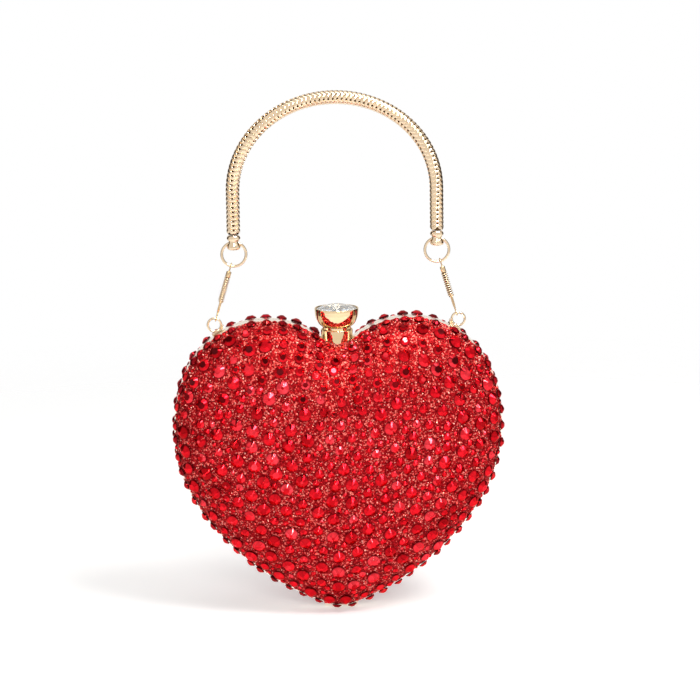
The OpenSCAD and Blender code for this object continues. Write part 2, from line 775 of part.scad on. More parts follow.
// Height of the crystal above the cup's rim, as a share of the cup's height
crown_share = 0.2;
module clasp_crystal() {
    r = cup_d / 2 - cup_wall - seat;
    crown = cup_h * crown_share;
    girdle = cup_h - 2 * cup_wall;
    depth = girdle - bowl_floor - seat;
    rings = concat(
        [for (s = crown_shares) [s[0] * r, girdle + s[1] * crown]],
        [for (s = pavilion_shares) [s[0] * r, girdle - s[1] * depth]]
    );
    count = len(rings);
    points = [for (k = [0:count - 1]) for (j = [0:gem_sides - 1])
        let (a = (j + k / 2) * 360 / gem_sides) [rings[k][0] * cos(a), rings[k][0] * sin(a), rings[k][1]]];
    color(clear) at_clasp(cup_foot) polyhedron(points, concat(
        [[for (j = [gem_sides - 1:-1:0]) j]],
        [for (k = [0:count - 2]) each strip(gem_sides * (k + 1), gem_sides * k, gem_sides)],
        [[for (j = [0:gem_sides - 1]) gem_sides * (count - 1) + j]]
    ));
}

// Latch, under the cleft: the bar on the stem stands just below the teeth of the tongue's two arms.
arm_t = 1.2;
tooth_h = 0.8;
tooth_len = 1.4;
bar_t = 1.2;
bar_w = 2.2;
head_t = 0.7;
release_gap = 0.2;
arm_top = cleft_z - lip_in - 2 * clear_gap;
tooth_z = arm_top - arm_t - tooth_h;
bar_top = tooth_z - release_gap;

module clasp_stem() {
    low = bar_top - bar_t - seat;
    color(steel) at_clasp(0) {
        translate([0, 0, low]) cylinder(h = cup_foot + socket_h - seat - low, d = stem_d);
        translate([0, 0, low - head_t]) cylinder(h = head_t, d = 2 * stem_d);
    }
}

module latch_bar() {
    color(steel) at_clasp(bar_top - bar_t) difference() {
        translate([-tongue_w / 2, -bar_w / 2, 0]) cube([tongue_w, bar_w, bar_t]);
        translate([0, 0, -over]) cylinder(h = bar_t + 2 * over, r = stem_d / 2 + fit);
    }
}

spring_d = 8;
spring_turns = 2;
module clasp_spring() {
    long = cup_foot + pocket_h - drum_floor - 2 * seat;
    rise = (long - 2 * (spring_wire + bend_r)) / spring_turns;
    color(steel) at_clasp(drum_floor + seat)
        wound_wire(coil_path(spring_d / 2, spring_wire, rise, spring_turns), spring_wire);
}

module catch_tongue() {
    back = link_y + bar_w / 2 + clear_gap;
    leg_y = band_y + clear_gap;
    color(steel) in_case() union() {
        intersection() {
            translate([-tongue_w / 2, -band_back, arm_top - arm_t])
                cube([tongue_w, band_back - leg_y, 2 * lip_in]);
            slab(-band_back, band_back) heart(-flange_in - seat);
        }
        for (side = [-1, 1]) translate([side * (tongue_w - arm_w) / 2 - arm_w / 2, 0, 0]) {
            translate([0, -band_back, arm_top - arm_t]) cube([arm_w, band_back + back + tooth_len, arm_t]);
            translate([0, back, tooth_z]) cube([arm_w, tooth_len, tooth_h + arm_t]);
        }
    }
}

handle_chain();
end_cap(-1);  // left_end_cap
end_cap(1);  // right_end_cap
handle_ring(-1);  // left_ring
handle_ring(1);  // right_ring
hook(-1);  // left_hook
hook_coil(-1);  // left_hook_coil
hook(1);  // right_hook
hook_coil(1);  // right_hook_coil
lug(-1);  // left_lug
lug(1);  // right_lug
rear_shell();
rear_frame();
rear_lining();
knuckles(0);  // rear_knuckles
hinge_pin();
rear_large_crystals();
rear_medium_crystals();
rear_rim_crystals();
front_shell();
front_frame();
front_lining();
knuckles(1);  // front_knuckles
catch_tongue();
front_large_crystals();
front_medium_crystals();
front_rim_crystals();
clasp_base();
clasp_cup();
clasp_crystal();
clasp_stem();
clasp_spring();
latch_bar();
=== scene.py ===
# %% [markdown]
# # A heart shaped evening purse set with red crystals
# The purse is a rigid clutch: two domed halves on gilt frames, hinged at the tip, closed by a push
# clasp in the cleft and carried by a chain bent into an arch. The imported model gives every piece
# its place and size. This script gives each its finish, and remakes those that need finer forms,
# such as cut crystals and the scales of the chain.

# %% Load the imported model
import json
import math
import random

import bmesh
import bpy
import numpy as np
from mathutils import Matrix, Vector, kdtree


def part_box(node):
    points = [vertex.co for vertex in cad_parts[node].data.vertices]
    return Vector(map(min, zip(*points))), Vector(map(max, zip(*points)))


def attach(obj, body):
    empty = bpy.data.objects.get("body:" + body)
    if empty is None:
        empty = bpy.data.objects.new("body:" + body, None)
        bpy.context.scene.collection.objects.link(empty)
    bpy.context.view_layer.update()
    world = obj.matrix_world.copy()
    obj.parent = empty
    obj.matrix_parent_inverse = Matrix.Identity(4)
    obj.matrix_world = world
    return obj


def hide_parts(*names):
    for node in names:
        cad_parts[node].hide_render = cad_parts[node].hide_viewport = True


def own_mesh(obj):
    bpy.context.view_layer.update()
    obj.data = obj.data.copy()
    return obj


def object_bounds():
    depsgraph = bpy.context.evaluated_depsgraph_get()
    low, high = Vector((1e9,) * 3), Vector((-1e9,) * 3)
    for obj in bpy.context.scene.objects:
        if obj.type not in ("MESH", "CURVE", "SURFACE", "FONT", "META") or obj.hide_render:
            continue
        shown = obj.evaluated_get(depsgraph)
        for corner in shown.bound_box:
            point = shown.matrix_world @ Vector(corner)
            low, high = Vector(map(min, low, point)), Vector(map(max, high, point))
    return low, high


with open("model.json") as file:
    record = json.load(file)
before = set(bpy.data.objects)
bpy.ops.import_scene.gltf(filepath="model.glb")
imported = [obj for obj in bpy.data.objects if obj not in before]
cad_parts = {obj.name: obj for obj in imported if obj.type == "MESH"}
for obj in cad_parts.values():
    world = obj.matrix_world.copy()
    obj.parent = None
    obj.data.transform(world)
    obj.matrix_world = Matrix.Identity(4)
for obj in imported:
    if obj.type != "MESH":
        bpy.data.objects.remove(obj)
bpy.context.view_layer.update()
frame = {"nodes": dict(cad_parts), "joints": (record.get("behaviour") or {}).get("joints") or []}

# %% [markdown]
# ## Working in millimetres
# Blender works in metres, but a purse is drawn in millimetres. Writing `6.4 * MM` keeps the real
# size readable, for shapes as well as for the grain of a texture.

# %% Units and small helpers
MM = 0.001


def middle(node):
    """Centre of a CAD node's box."""
    low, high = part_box(node)
    return (low + high) / 2


def linear(code):
    """An sRGB hex colour as the linear RGBA that a shader expects."""
    parts = [int(code[i:i + 2], 16) / 255 for i in (1, 3, 5)]
    return [c / 12.92 if c <= 0.04045 else ((c + 0.055) / 1.055) ** 2.4 for c in parts] + [1.0]


HALF_BODY = {"rear": "case", "front": "lid"}
joints = {joint["name"]: joint for joint in frame["joints"]}
print("clasp stands at", [round(v * 1000, 1) for v in middle("clasp_cup")], "mm")
print("joints:", ", ".join(joints))

# %% [markdown]
# ## From a bmesh to a piece that rides on the model
# Each new piece is drawn in a bmesh, Blender's editable mesh. Its doubles are merged and its
# normals recalculated, because spun shapes may come out inside out. Faces are shaded smooth, but
# edges sharper than an angle stay crisp, as on polished metal. The shape stands in its place in the
# mesh itself, so its object stays at the origin.

# %% Piece maker
FINE_WELD = 0.001 * MM
COARSE_WELD = 0.005 * MM


def weld(bm, reach=COARSE_WELD):
    """Merges points that lie closer than reach."""
    bmesh.ops.remove_doubles(bm, verts=bm.verts, dist=reach)


def placed(name, data):
    """A new object of the scene with the given data."""
    made = bpy.data.objects.new(name, data)
    bpy.context.collection.objects.link(made)
    return made


def mesh_of(bm, name):
    """Turns a bmesh into a mesh and frees it."""
    mesh = bpy.data.meshes.new(name)
    bm.to_mesh(mesh)
    bm.free()
    return mesh


def piece_from(bm, name, finish, body, node=None, sharp=50, merge=True):
    """Makes a named object that rides on a body, takes a finish and stands for a CAD node."""
    if merge:
        weld(bm, FINE_WELD)
    bmesh.ops.recalc_face_normals(bm, faces=bm.faces)
    mesh = mesh_of(bm, name)
    if sharp:
        mesh.shade_smooth()
        mesh.set_sharp_from_angle(angle=math.radians(sharp))
    mesh.materials.append(finish)
    piece = placed(name, mesh)
    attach(piece, body)
    if node:
        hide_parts(node)
    print(name, "has", len(mesh.polygons), "faces")
    return piece


print("piece maker ready")

# %% [markdown]
# Round metal is made in two ways. A turned shape, and a ring of wire too, is a profile spun about an
# axis. A wire on any other path is a curve with a round bevel, which keeps its section square to the
# path by itself.

# %% Spun shapes and swept wires
QUARTER = math.pi / 2
SPIN_AXES = {"Z": Matrix(), "Y": Matrix.Rotation(QUARTER, 4, "X"), "X": Matrix.Rotation(QUARTER, 4, "Y")}


def spun(bm, profile, steps=64, axis="Z", centre=(0, 0, 0)):
    """Spins an open profile of (radius, height) points once round an axis and closes it."""
    others = set(bm.verts)
    dots = [bm.verts.new((r, 0, h)) for r, h in profile]
    lines = [bm.edges.new(pair) for pair in zip(dots, dots[1:])]
    bmesh.ops.spin(bm, geom=dots + lines, cent=(0, 0, 0), axis=(0, 0, 1), angle=2 * math.pi,
                   steps=steps, use_merge=True)
    made = [dot for dot in bm.verts if dot not in others]
    bmesh.ops.transform(bm, matrix=Matrix.Translation(centre) @ SPIN_AXES[axis], verts=made)


def in_mm(profile):
    return [(r * MM, z * MM) for r, z in profile]


def wire_loop(bm, loop_r, wire_r, axis, centre, steps=72, sides=12):
    """A closed ring of round wire."""
    round_wire = [(loop_r + wire_r * math.cos(a), wire_r * math.sin(a))
                  for a in (2 * math.pi * i / sides for i in range(sides))]
    spun(bm, round_wire + round_wire[:1], steps, axis, centre)


def swept_wire(bm, points, wire):
    """A round wire along a path of points, closed at both ends."""
    curve = bpy.data.curves.new("wire", "CURVE")
    curve.dimensions, curve.bevel_resolution, curve.use_fill_caps = "3D", 3, True
    curve.bevel_depth = wire / 2
    line = curve.splines.new("POLY")
    line.points.add(len(points) - 1)
    for dot, co in zip(line.points, points):
        dot.co = (*co, 1)
    made = bpy.data.objects.new("wire", curve)
    mesh = bpy.data.meshes.new_from_object(made)
    bm.from_mesh(mesh)
    bpy.data.objects.remove(made)
    bpy.data.curves.remove(curve)
    bpy.data.meshes.remove(mesh)


def stamp(bm, mesh, place):
    """Copies a mesh into a bmesh at a place."""
    mesh.transform(place)
    bm.from_mesh(mesh)
    mesh.transform(place.inverted())


print("spun and swept metal ready")

# %% [markdown]
# ## The camera
# The photograph was taken with a long lens from a little above, which keeps both halves of the
# heart the same size. The camera stands 3.5 degrees to the left of straight ahead and is rolled by
# 0.8 degrees, as the purse leans a little in the picture. The purse itself stays upright.

# %% Camera
VIEW_CENTRE = Vector((5.9, -2.0, -114.4)) * MM
VIEW_AZIMUTH = math.radians(-3.5)
VIEW_ELEVATION = math.radians(11)
VIEW_ROLL = math.radians(-0.8)
VIEW_DISTANCE = 1200 * MM
VIEW_WIDTH = 325.5 * MM
SENSOR = 36


def direction(azimuth, elevation):
    """The way from the purse to a camera or lamp, turned from straight ahead and raised."""
    flat = math.cos(elevation)
    return Vector((math.sin(azimuth) * flat, -math.cos(azimuth) * flat, math.sin(elevation)))


camera_data = bpy.data.cameras.new("camera")
camera_data.sensor_width = SENSOR
camera_data.lens = SENSOR * VIEW_DISTANCE / VIEW_WIDTH
camera = placed("camera", camera_data)
back = direction(VIEW_AZIMUTH, VIEW_ELEVATION)
aim = (-back).to_track_quat("-Z", "Y").to_matrix().to_4x4() @ Matrix.Rotation(VIEW_ROLL, 4, "Z")
camera.matrix_world = Matrix.Translation(VIEW_CENTRE + back * VIEW_DISTANCE) @ aim
bpy.context.scene.camera = camera
bpy.context.scene.view_settings.view_transform = "Standard"
print("lens", round(camera_data.lens, 1), "mm")

# %% [markdown]
# ## Adding shader nodes
# A finish is a small network of nodes. One function adds a node, sets its values and links its
# inputs, so that every material reads as a recipe. Patterns use Object coordinates, which are
# metres on the piece, so a scale of one over a grain's size gives grains of that size.

# %% Node helper


def add(tree, kind, settings=None, stops=(), **inputs):
    """Adds a shader node with its settings, the stops of a colour ramp, and its inputs.

    An input names a socket, or numbers it as _0. It holds a value, a socket, or a node that stands
    for its first output. A stop is a position and a hex colour.
    """
    node = tree.nodes.new("ShaderNode" + kind)
    for key, value in (settings or {}).items():
        setattr(node, key, value)
    for key, value in inputs.items():
        socket = node.inputs[int(key[1:])] if key[0] == "_" else node.inputs[key.replace("_", " ")]
        if isinstance(value, bpy.types.Node):
            value = value.outputs[0]
        if isinstance(value, bpy.types.NodeSocket):
            tree.links.new(value, socket)
        else:
            socket.default_value = value
    if stops:
        for _ in stops[2:]:
            node.color_ramp.elements.new(0.5)
        for stop, (where, code) in zip(node.color_ramp.elements, stops):
            stop.position = where
            stop.color = linear(code)
    return node


def new_finish(name, preview):
    """An empty material with its tree and the piece's own coordinates."""
    finish = bpy.data.materials.new(name)
    finish.use_nodes = True
    finish.diffuse_color = linear(preview)
    tree = finish.node_tree
    tree.nodes.clear()
    return finish, tree, add(tree, "TexCoord").outputs["Object"]


print("node helper ready")

# %% [markdown]
# ## Red foiled crystal
# A rhinestone is a cone of coloured glass with a mirror foil under it, which throws light back
# through the red. So a facet glows where it faces something bright and goes nearly black where it
# faces something dark. A metal tinted red does the same, and is far quicker than real refraction on
# a thousand stones. Each island of the mesh picks its own shade. Little light comes back from the
# rim of a stone, so its base gets a painted shade: the attribute `cut`, which runs from 0 at the base
# to 1 at the table, darkens it. A stone that lies back throws its light away from the eye, and its
# table, marked with a `cut` of 2, is painted dark as a pupil, a painted shade.

# %% Red crystal
TIMES = {"operation": "MULTIPLY"}


def foiled_crystal(name, shades, metallic, roughness, rim):
    """Red glass over foil. Stones take the shades at random, and rim is the light that the painted
    shade leaves at each stone's base.
    """
    finish, tree, place = new_finish(name, shades[1][1])
    stone = add(tree, "NewGeometry").outputs
    colouring = add(tree, "ValToRGB", stops=shades, Fac=stone["Random Per Island"])
    swirl = add(tree, "TexNoise", Vector=place, Scale=1 / (2.0 * MM), Detail=1.0).outputs["Fac"]
    height = add(tree, "Attribute", {"attribute_name": "cut"}).outputs["Fac"]
    # Painted shade: the base of each stone is darkened, and a table marked with a cut of 2 is painted
    # dark.
    painted_rim_shade = add(tree, "MapRange", Value=height, From_Min=0.16, From_Max=0.42, To_Min=rim)
    painted_pupil_shade = add(tree, "MapRange", Value=height, From_Min=1.5, From_Max=2.0, To_Min=1.0, To_Max=0.1)
    depth = add(tree, "MapRange", Value=swirl, From_Min=0.3, From_Max=0.7, To_Min=0.7, To_Max=1.1)
    shade = add(tree, "Math", TIMES, _0=painted_rim_shade, _1=painted_pupil_shade)
    glow = add(tree, "Math", TIMES, _0=depth, _1=shade)
    deep = add(tree, "HueSaturation", Color=colouring, Value=glow)
    # Facets are a little rounded, as moulded ones are: their normals lie between flat and smooth.
    moulded = add(tree, "Mix", {"data_type": "VECTOR"}, Factor=0.4)
    tree.links.new(stone["Normal"], moulded.inputs["A"])
    tree.links.new(stone["True Normal"], moulded.inputs["B"])
    facet = add(tree, "VectorMath", {"operation": "NORMALIZE"}, _0=moulded.outputs["Result"])
    foil = add(tree, "Bump", Height=swirl, Strength=0.1, Distance=0.25 * MM, Normal=facet)
    glass = add(tree, "BsdfPrincipled", Base_Color=deep, Normal=foil, Metallic=metallic,
                Roughness=roughness, IOR=1.5, Specular_IOR_Level=0.3, Specular_Tint=linear("#FF8080"),
                Coat_Weight=0.05, Coat_Roughness=0.03, Coat_IOR=1.6)
    add(tree, "OutputMaterial", Surface=glass)
    return finish


RUBY = [(0.0, "#B00410"), (0.25, "#DA0E1E"), (0.7, "#EE1A28"), (1.0, "#FF4450")]
REAR_RIM_SHADES = [(0.0, "#5C0614"), (0.3, "#8C0C20"), (0.7, "#AC1426"), (1.0, "#C82034")]
FRONT_RIM_SHADES = [(0.0, "#7C0816"), (0.3, "#AC1020"), (0.7, "#D01C26"), (1.0, "#E42C30")]
ruby_crystal = foiled_crystal("foiled_red_crystal", RUBY, 0.85, 0.05, 0.2)
# The rows along the rims take darker copies of the red: painted shade, as they are seen edge-on
# and lit less, the rear row most of all.
rear_rim_shaded_crystal = foiled_crystal("deep_red_crystal", REAR_RIM_SHADES, 0.75, 0.06, 0.25)
front_rim_shaded_crystal = foiled_crystal("cherry_red_crystal", FRONT_RIM_SHADES, 0.8, 0.05, 0.2)
print("crystal finishes:", ruby_crystal.name, front_rim_shaded_crystal.name, rear_rim_shaded_crystal.name)

# %% [markdown]
# ## Seed crystals
# The finest filling is crushed crystal of under a millimetre. Nobody sees its facets, only specks:
# some flash pale salmon, some stay deep red. Each bead takes a shade at random from deep red to pale
# salmon, and the pale salmon is painted highlight for the flash. As most of its light is scattered,
# it is only half metallic.

# %% Seed crystal
SEED_TONES_AND_SPARKLE = [(0.0, "#9C0612"), (0.42, "#C40E1C"), (0.62, "#DE2E32"), (0.82, "#FF9084"), (1.0, "#FFC0B4")]
seed_crystal, tree, place = new_finish("crushed_red_crystal", "#C8202A")
# The pale end of this ramp is painted highlight; the rest is random tone.
colouring = add(tree, "ValToRGB", stops=SEED_TONES_AND_SPARKLE, Fac=add(tree, "NewGeometry").outputs["Random Per Island"])
grain = add(tree, "TexNoise", Vector=place, Scale=1 / (0.4 * MM), Detail=1.0).outputs["Fac"]
tilt = add(tree, "Bump", Height=grain, Strength=0.25, Distance=0.15 * MM)
crumb = add(tree, "BsdfPrincipled", Base_Color=colouring, Normal=tilt, Metallic=0.5, Roughness=0.3,
            Specular_IOR_Level=0.3, Specular_Tint=linear("#FF9088"))
add(tree, "OutputMaterial", Surface=crumb)
print("seed finish:", seed_crystal.name)

# %% [markdown]
# ## Resin bed
# Between the stones lies clear resin full of red glitter. Glitter is a scatter of flat flakes at
# random tilts, and in a Voronoi pattern each cell can be one flake with its own shade. The palest
# pink of those shades is painted glint, for flakes that catch the light. Real flakes of 0.3 mm are
# finer than a pixel here, so they are drawn at 0.6 mm to read as the grain that the eye sees.

# %% Resin and glitter
GLITTER_TONES_AND_GLINTS = [(0.0, "#64040C"), (0.5, "#9C0A16"), (0.8, "#CC2028"), (1.0, "#FF8C80")]
FLAKE = 0.6 * MM
resin_bed, tree, place = new_finish("red_glitter_resin", "#A81420")
flakes = add(tree, "TexVoronoi", Vector=place, Scale=1 / FLAKE).outputs["Color"]
chance = add(tree, "SeparateColor", Color=flakes).outputs
# The pale pink stop is painted glint; the others are random flake tone.
colour = add(tree, "ValToRGB", stops=GLITTER_TONES_AND_GLINTS, Fac=chance["Red"])
tilt = add(tree, "Bump", Height=chance["Green"], Strength=0.8, Distance=0.3 * MM)
resin = add(tree, "BsdfPrincipled", Base_Color=colour, Normal=tilt, Metallic=0.4, Roughness=0.5,
            Specular_IOR_Level=0.3, Specular_Tint=linear("#FF9088"))
add(tree, "OutputMaterial", Surface=resin)
print("resin finish:", resin_bed.name)

# %% [markdown]
# ## Gilt plating
# Plating is a plain metal: full metallic, a warm base colour and low roughness. What makes it look
# real is small: polishing leaves it faintly uneven, so its roughness wanders a little, and its tone
# is paler where hands rub it thin. The clasp cup is a mirror, the frames are paler and softer.

# %% Gilt


def gilt(name, colour, worn, roughness, grain, bump):
    """A plated or plain metal. Its tone and polish wander over grains of a size in millimetres."""
    finish, tree, place = new_finish(name, colour)
    cloud = add(tree, "TexNoise", Vector=place, Scale=1 / (grain * MM), Detail=3.0).outputs["Fac"]
    tone = add(tree, "ValToRGB", stops=[(0.35, colour), (0.75, worn)], Fac=cloud)
    polish = add(tree, "MapRange", Value=cloud, From_Min=0.3, From_Max=0.7,
                 To_Min=roughness * 0.7, To_Max=roughness * 1.4)
    fine = add(tree, "TexNoise", Vector=place, Scale=1 / (0.25 * MM), Detail=2.0).outputs["Fac"]
    buffing = add(tree, "Bump", Height=fine, Strength=bump, Distance=0.02 * MM)
    metal = add(tree, "BsdfPrincipled", Base_Color=tone, Metallic=1.0, Roughness=polish, Normal=buffing)
    add(tree, "OutputMaterial", Surface=metal)
    return finish


chain_gilt = gilt("champagne_gilt_plating", "#E8D2B4", "#F8E2C4", 0.14, 6, 0.12)
wire_gilt = gilt("gilt_wire", "#D9BD94", "#E9D0AA", 0.1, 5, 0.08)
cup_gilt = gilt("mirror_polished_gilt", "#EED0A2", "#F6DDB6", 0.04, 14, 0.03)
frame_gilt = gilt("pale_frame_gilt", "#F6ECDC", "#FFF8EC", 0.16, 9, 0.1)
nickel = gilt("nickel_plated_steel", "#C9C7C4", "#DAD9D7", 0.22, 5, 0.2)
# A dark finish of painted shade, for the hollows in the chain and inside the coils.
shadow_gilt = gilt("painted_shade_of_chain_hollows", "#57432C", "#6B5338", 0.5, 3, 0.2)
print("metal finishes:", ", ".join(f.name for f in (chain_gilt, wire_gilt, cup_gilt, frame_gilt, nickel)))

# %% [markdown]
# ## Clear crystal, satin
# The clasp's big stone is clear cut glass over a mirrored cup, so it is nearly all transmission,
# with a trace of blue. The lining's satin has a soft sheen and, close up, a fine twill. Its threads
# of 0.3 mm are drawn at 0.8 mm so that they show.

# %% Clear crystal and satin
THREAD = 0.8 * MM
clear_crystal, tree, place = new_finish("clear_cut_crystal", "#E8F0F6")
haze = add(tree, "TexNoise", Vector=place, Scale=1 / (5 * MM), Detail=1.0).outputs["Fac"]
tint = add(tree, "ValToRGB", stops=[(0.35, "#DCE8F2"), (0.7, "#FFFFFF")], Fac=haze)
glass = add(tree, "BsdfPrincipled", Base_Color=tint, Roughness=0.02, IOR=1.55, Transmission_Weight=0.85,
            Coat_Weight=0.5, Coat_Roughness=0.02)
add(tree, "OutputMaterial", Surface=glass)

lining_satin, tree, place = new_finish("champagne_satin", "#CDB18A")
twill = add(tree, "TexWave", {"bands_direction": "DIAGONAL"}, Vector=place, Scale=1 / THREAD / 6.28,
            Distortion=0.6).outputs["Fac"]
weave = add(tree, "Bump", Height=twill, Strength=0.3, Distance=0.08 * MM)
cloud = add(tree, "TexNoise", Vector=place, Scale=1 / (18 * MM), Detail=2.0).outputs["Fac"]
colouring = add(tree, "ValToRGB", stops=[(0.3, "#C6A77E"), (0.7, "#DCC29C")], Fac=cloud)
satin = add(tree, "BsdfPrincipled", Base_Color=colouring, Normal=weave, Roughness=0.42,
            Sheen_Weight=0.35, Sheen_Roughness=0.4, Anisotropic=0.4)
add(tree, "OutputMaterial", Surface=satin)
print("more finishes:", clear_crystal.name, lining_satin.name)

# %% [markdown]
# ## Reading the settings of the stones
# The solid model says where each crystal is glued. Its crystals are plain cones, and one can be
# read back from its points: the direction in which they spread least is its axis, the wide end its
# base, and the largest distance from the axis its radius. The finer stones then sit in the same
# places.

# %% Seats of the crystals


def linked_to(first, seen):
    """All points joined to a first one by edges, in the order in which they are found."""
    seen.add(first)
    stone, queue = [first], [first]
    while queue:
        for painted_rim_shade in queue.pop().link_edges:
            for dot in painted_rim_shade.verts:
                if dot not in seen:
                    seen.add(dot)
                    stone.append(dot)
                    queue.append(dot)
    return stone


def seat_of(stone):
    """Base centre, outward direction and radius of one crystal, from its points."""
    dots = np.array([v.co for v in stone])
    heart = dots.mean(axis=0)
    way = np.linalg.eigh(np.cov((dots - heart).T))[1][:, 0]
    height = (dots - heart) @ way
    out = np.linalg.norm(dots - heart - np.outer(height, way), axis=1)
    low, high = height < height.min() + 0.1 * MM, height > height.max() - 0.1 * MM
    if out[low].max() < out[high].max():
        way, low = -way, high
    return Vector(dots[low].mean(axis=0)), Vector(way), float(out.max())


def seats_of(node):
    bm = bmesh.new()
    bm.from_mesh(frame["nodes"][node].data)
    weld(bm, 0.002 * MM)
    seen = set()
    found = [seat_of(linked_to(dot, seen)) for dot in bm.verts if dot not in seen]
    bm.free()
    return found


CRYSTAL_NODES = {half: [f"{half}_{size}_crystals" for size in ("large", "medium", "rim")]
                 for half in HALF_BODY}
seats = {node: seats_of(node) for nodes in CRYSTAL_NODES.values() for node in nodes}
for node, found in seats.items():
    print(node, len(found), "stones, radius", round(found[0][2] * 1000, 2), "mm")

# %% [markdown]
# ## Cutting a stone
# A lapidary grinds flats on a round blank. Here `bisect_plane` slices the blank and throws away
# what is outside the cut, and the hole that it leaves is filled to make the facet. Twelve cuts that
# leave a small table give the pointed stone, and ten that leave a wide one give the flat stone.
# Each has only a few dozen faces, because there are well over a thousand stones.

# %% Stone cutter


def grind(bm, point, way, reach):
    """Cuts a flat facet through a point and fills it. Points within reach count as on the cut."""
    cut = bmesh.ops.bisect_plane(bm, geom=bm.verts[:] + bm.edges[:] + bm.faces[:], dist=reach,
                                 clear_outer=True, plane_co=point, plane_no=way)
    edges = [g for g in cut["geom_cut"] if isinstance(g, bmesh.types.BMEdge)]
    bmesh.ops.holes_fill(bm, edges=edges)


def round_way(turn):
    return Vector((math.cos(turn), math.sin(turn), 0))


def ground_stone(name, facets, height, table_r, girdle_h):
    """A stone of radius 1, ground from a round blank that stands on z = 0."""
    bm = bmesh.new()
    bmesh.ops.create_cone(bm, cap_ends=True, segments=2 * facets, radius1=1, radius2=1, depth=height,
                          matrix=Matrix.Translation((0, 0, height / 2)))
    slope = math.atan2(1 - table_r, height - girdle_h)
    for i in range(facets):
        out = round_way(2 * math.pi * (i + 0.5) / facets)
        way = out * math.cos(slope) + Vector((0, 0, math.sin(slope)))
        grind(bm, out + Vector((0, 0, girdle_h)), way, 1e-5)
    bmesh.ops.recalc_face_normals(bm, faces=bm.faces)
    cut_height = bm.verts.layers.float.new("cut")
    for dot in bm.verts:
        dot[cut_height] = dot.co.z / height
    print(name, len(bm.faces), "faces")
    return mesh_of(bm, name)


pointed_stone = ground_stone("pointed_stone", 12, 0.78, 0.22, 0.16)
flat_stone = ground_stone("flat_stone", 10, 0.60, 0.46, 0.14)
small_stone = ground_stone("small_stone", 8, 0.72, 0.25, 0.16)
round_stone = ground_stone("round_stone", 9, 0.74, 0.3, 0.3)
table_stone = ground_stone("table_stone", 10, 0.62, 0.48, 0.14)

# %% [markdown]
# ## Setting the stones
# Each stone is copied into one mesh with a random turn about its axis and a tilt of a few degrees.
# That scatter matters: it lets each stone catch the light at its own moment. Where the dome lies
# back, a wide table stone is set, and most of those get the dark pupil, a painted shade on the
# table. The stones of the rear rim row are a little larger than their seats.

# %% Stone setting
PUPIL_TILT = 0.16
PAINTED_PUPIL_SHARE = 0.6


def paint_table_shade(bm, first, cut_height, gloom):
    """Marks the table of the stone whose points start at first as a dark pupil of painted shade."""
    bm.verts.ensure_lookup_table()
    for i in range(first, len(bm.verts)):
        if bm.verts[i][cut_height] > 0.99:
            bm.verts[i][cut_height] = gloom


def set_stones(name, seats_here, shapes, half, seed, finish, node=None, tilt=4, sink=0.02, sharp=33):
    """Copies shapes of radius 1 onto seats of (centre, direction, radius) in one mesh."""
    chance = random.Random(seed)
    bm = bmesh.new()
    cut_height = bm.verts.layers.float.new("cut")
    for centre, way, radius in seats_here:
        lies_back = way.z > PUPIL_TILT + chance.uniform(-0.1, 0.1)
        shape = table_stone if lies_back and "rim" not in name else chance.choice(shapes)
        lean = Matrix.Rotation(math.radians(chance.uniform(-tilt, tilt)), 4, "X")
        turn = Matrix.Rotation(chance.uniform(0, 2 * math.pi), 4, "Z")
        stand = way.to_track_quat("Z", "X").to_matrix().to_4x4()
        radius *= chance.uniform(1, 1.2) if name.startswith("rear_rim") else chance.uniform(0.86, 1)
        foot = Matrix.Translation(centre - way * radius * sink)
        first = len(bm.verts)
        stamp(bm, shape, foot @ stand @ lean @ turn @ Matrix.Scale(radius, 4))
        # Painted shade: most stones that lie back get their table darkened.
        if lies_back and chance.random() < PAINTED_PUPIL_SHARE:
            paint_table_shade(bm, first, cut_height, chance.uniform(1.85, 2))
    print(name, len(seats_here), "stones")
    piece_from(bm, name, finish, HALF_BODY[half], node, sharp, merge=False)


# Painted shade: the rim rows get the darker copies of the red.
RIM_SHADED_FINISHES = {"rear": rear_rim_shaded_crystal, "front": front_rim_shaded_crystal}
for half, nodes in CRYSTAL_NODES.items():
    for k, node in enumerate(nodes):
        on_rim = "rim" in node
        shapes = [round_stone, flat_stone] if on_rim else [pointed_stone, pointed_stone, flat_stone]
        colouring = RIM_SHADED_FINISHES[half] if on_rim else ruby_crystal
        set_stones(node.replace("crystals", "stones"), seats[node], shapes, half, 10 + k, colouring, node)

# %% [markdown]
# ## Filling the ground between the stones
# The setter then fills every gap: stones of about 3.5 mm and 2.3 mm first, then seed beads of under
# a millimetre. Throwing darts copies this well: points are drawn at random on the outer skin of the
# shell, and one is kept only where its stone touches none that lies there already. A kd-tree finds
# the neighbours quickly.

# %% Dart thrower
CASE_HEART = (0, middle("rear_frame").y, -0.155)
RIM_BAND = 8 * MM
RIM_FADE = 4 * MM
UPPER_START = 0.172
UPPER_FADE = 0.03
DRUM_FOOT = -0.125
STEPS_ROUND = [(x, y, z) for x in (-1, 0, 1) for y in (-1, 0, 1) for z in (-1, 0, 1)]


def skin_of(node):
    """Outer faces of a domed shell as arrays: corners, outward directions and areas."""
    mesh = frame["nodes"][node].data
    mesh.calc_loop_triangles()
    dots = np.array([v.co for v in mesh.vertices])
    corners = dots[np.array([t.vertices[:] for t in mesh.loop_triangles])]
    ways = np.cross(corners[:, 1] - corners[:, 0], corners[:, 2] - corners[:, 0])
    areas = np.linalg.norm(ways, axis=1) / 2
    ways /= np.maximum(2 * areas, 1e-15)[:, None]
    reach = corners.mean(axis=1) - np.array(CASE_HEART)
    outer = ((ways * reach).sum(axis=1) > 0) & (areas > 1e-12)
    flat_rim = np.abs(ways[:, 1]) > 0.98
    keep = outer & ~(flat_rim & (np.abs(corners[:, :, 1].mean(axis=1)) < RIM_BAND))
    return corners[keep], ways[keep], areas[keep]


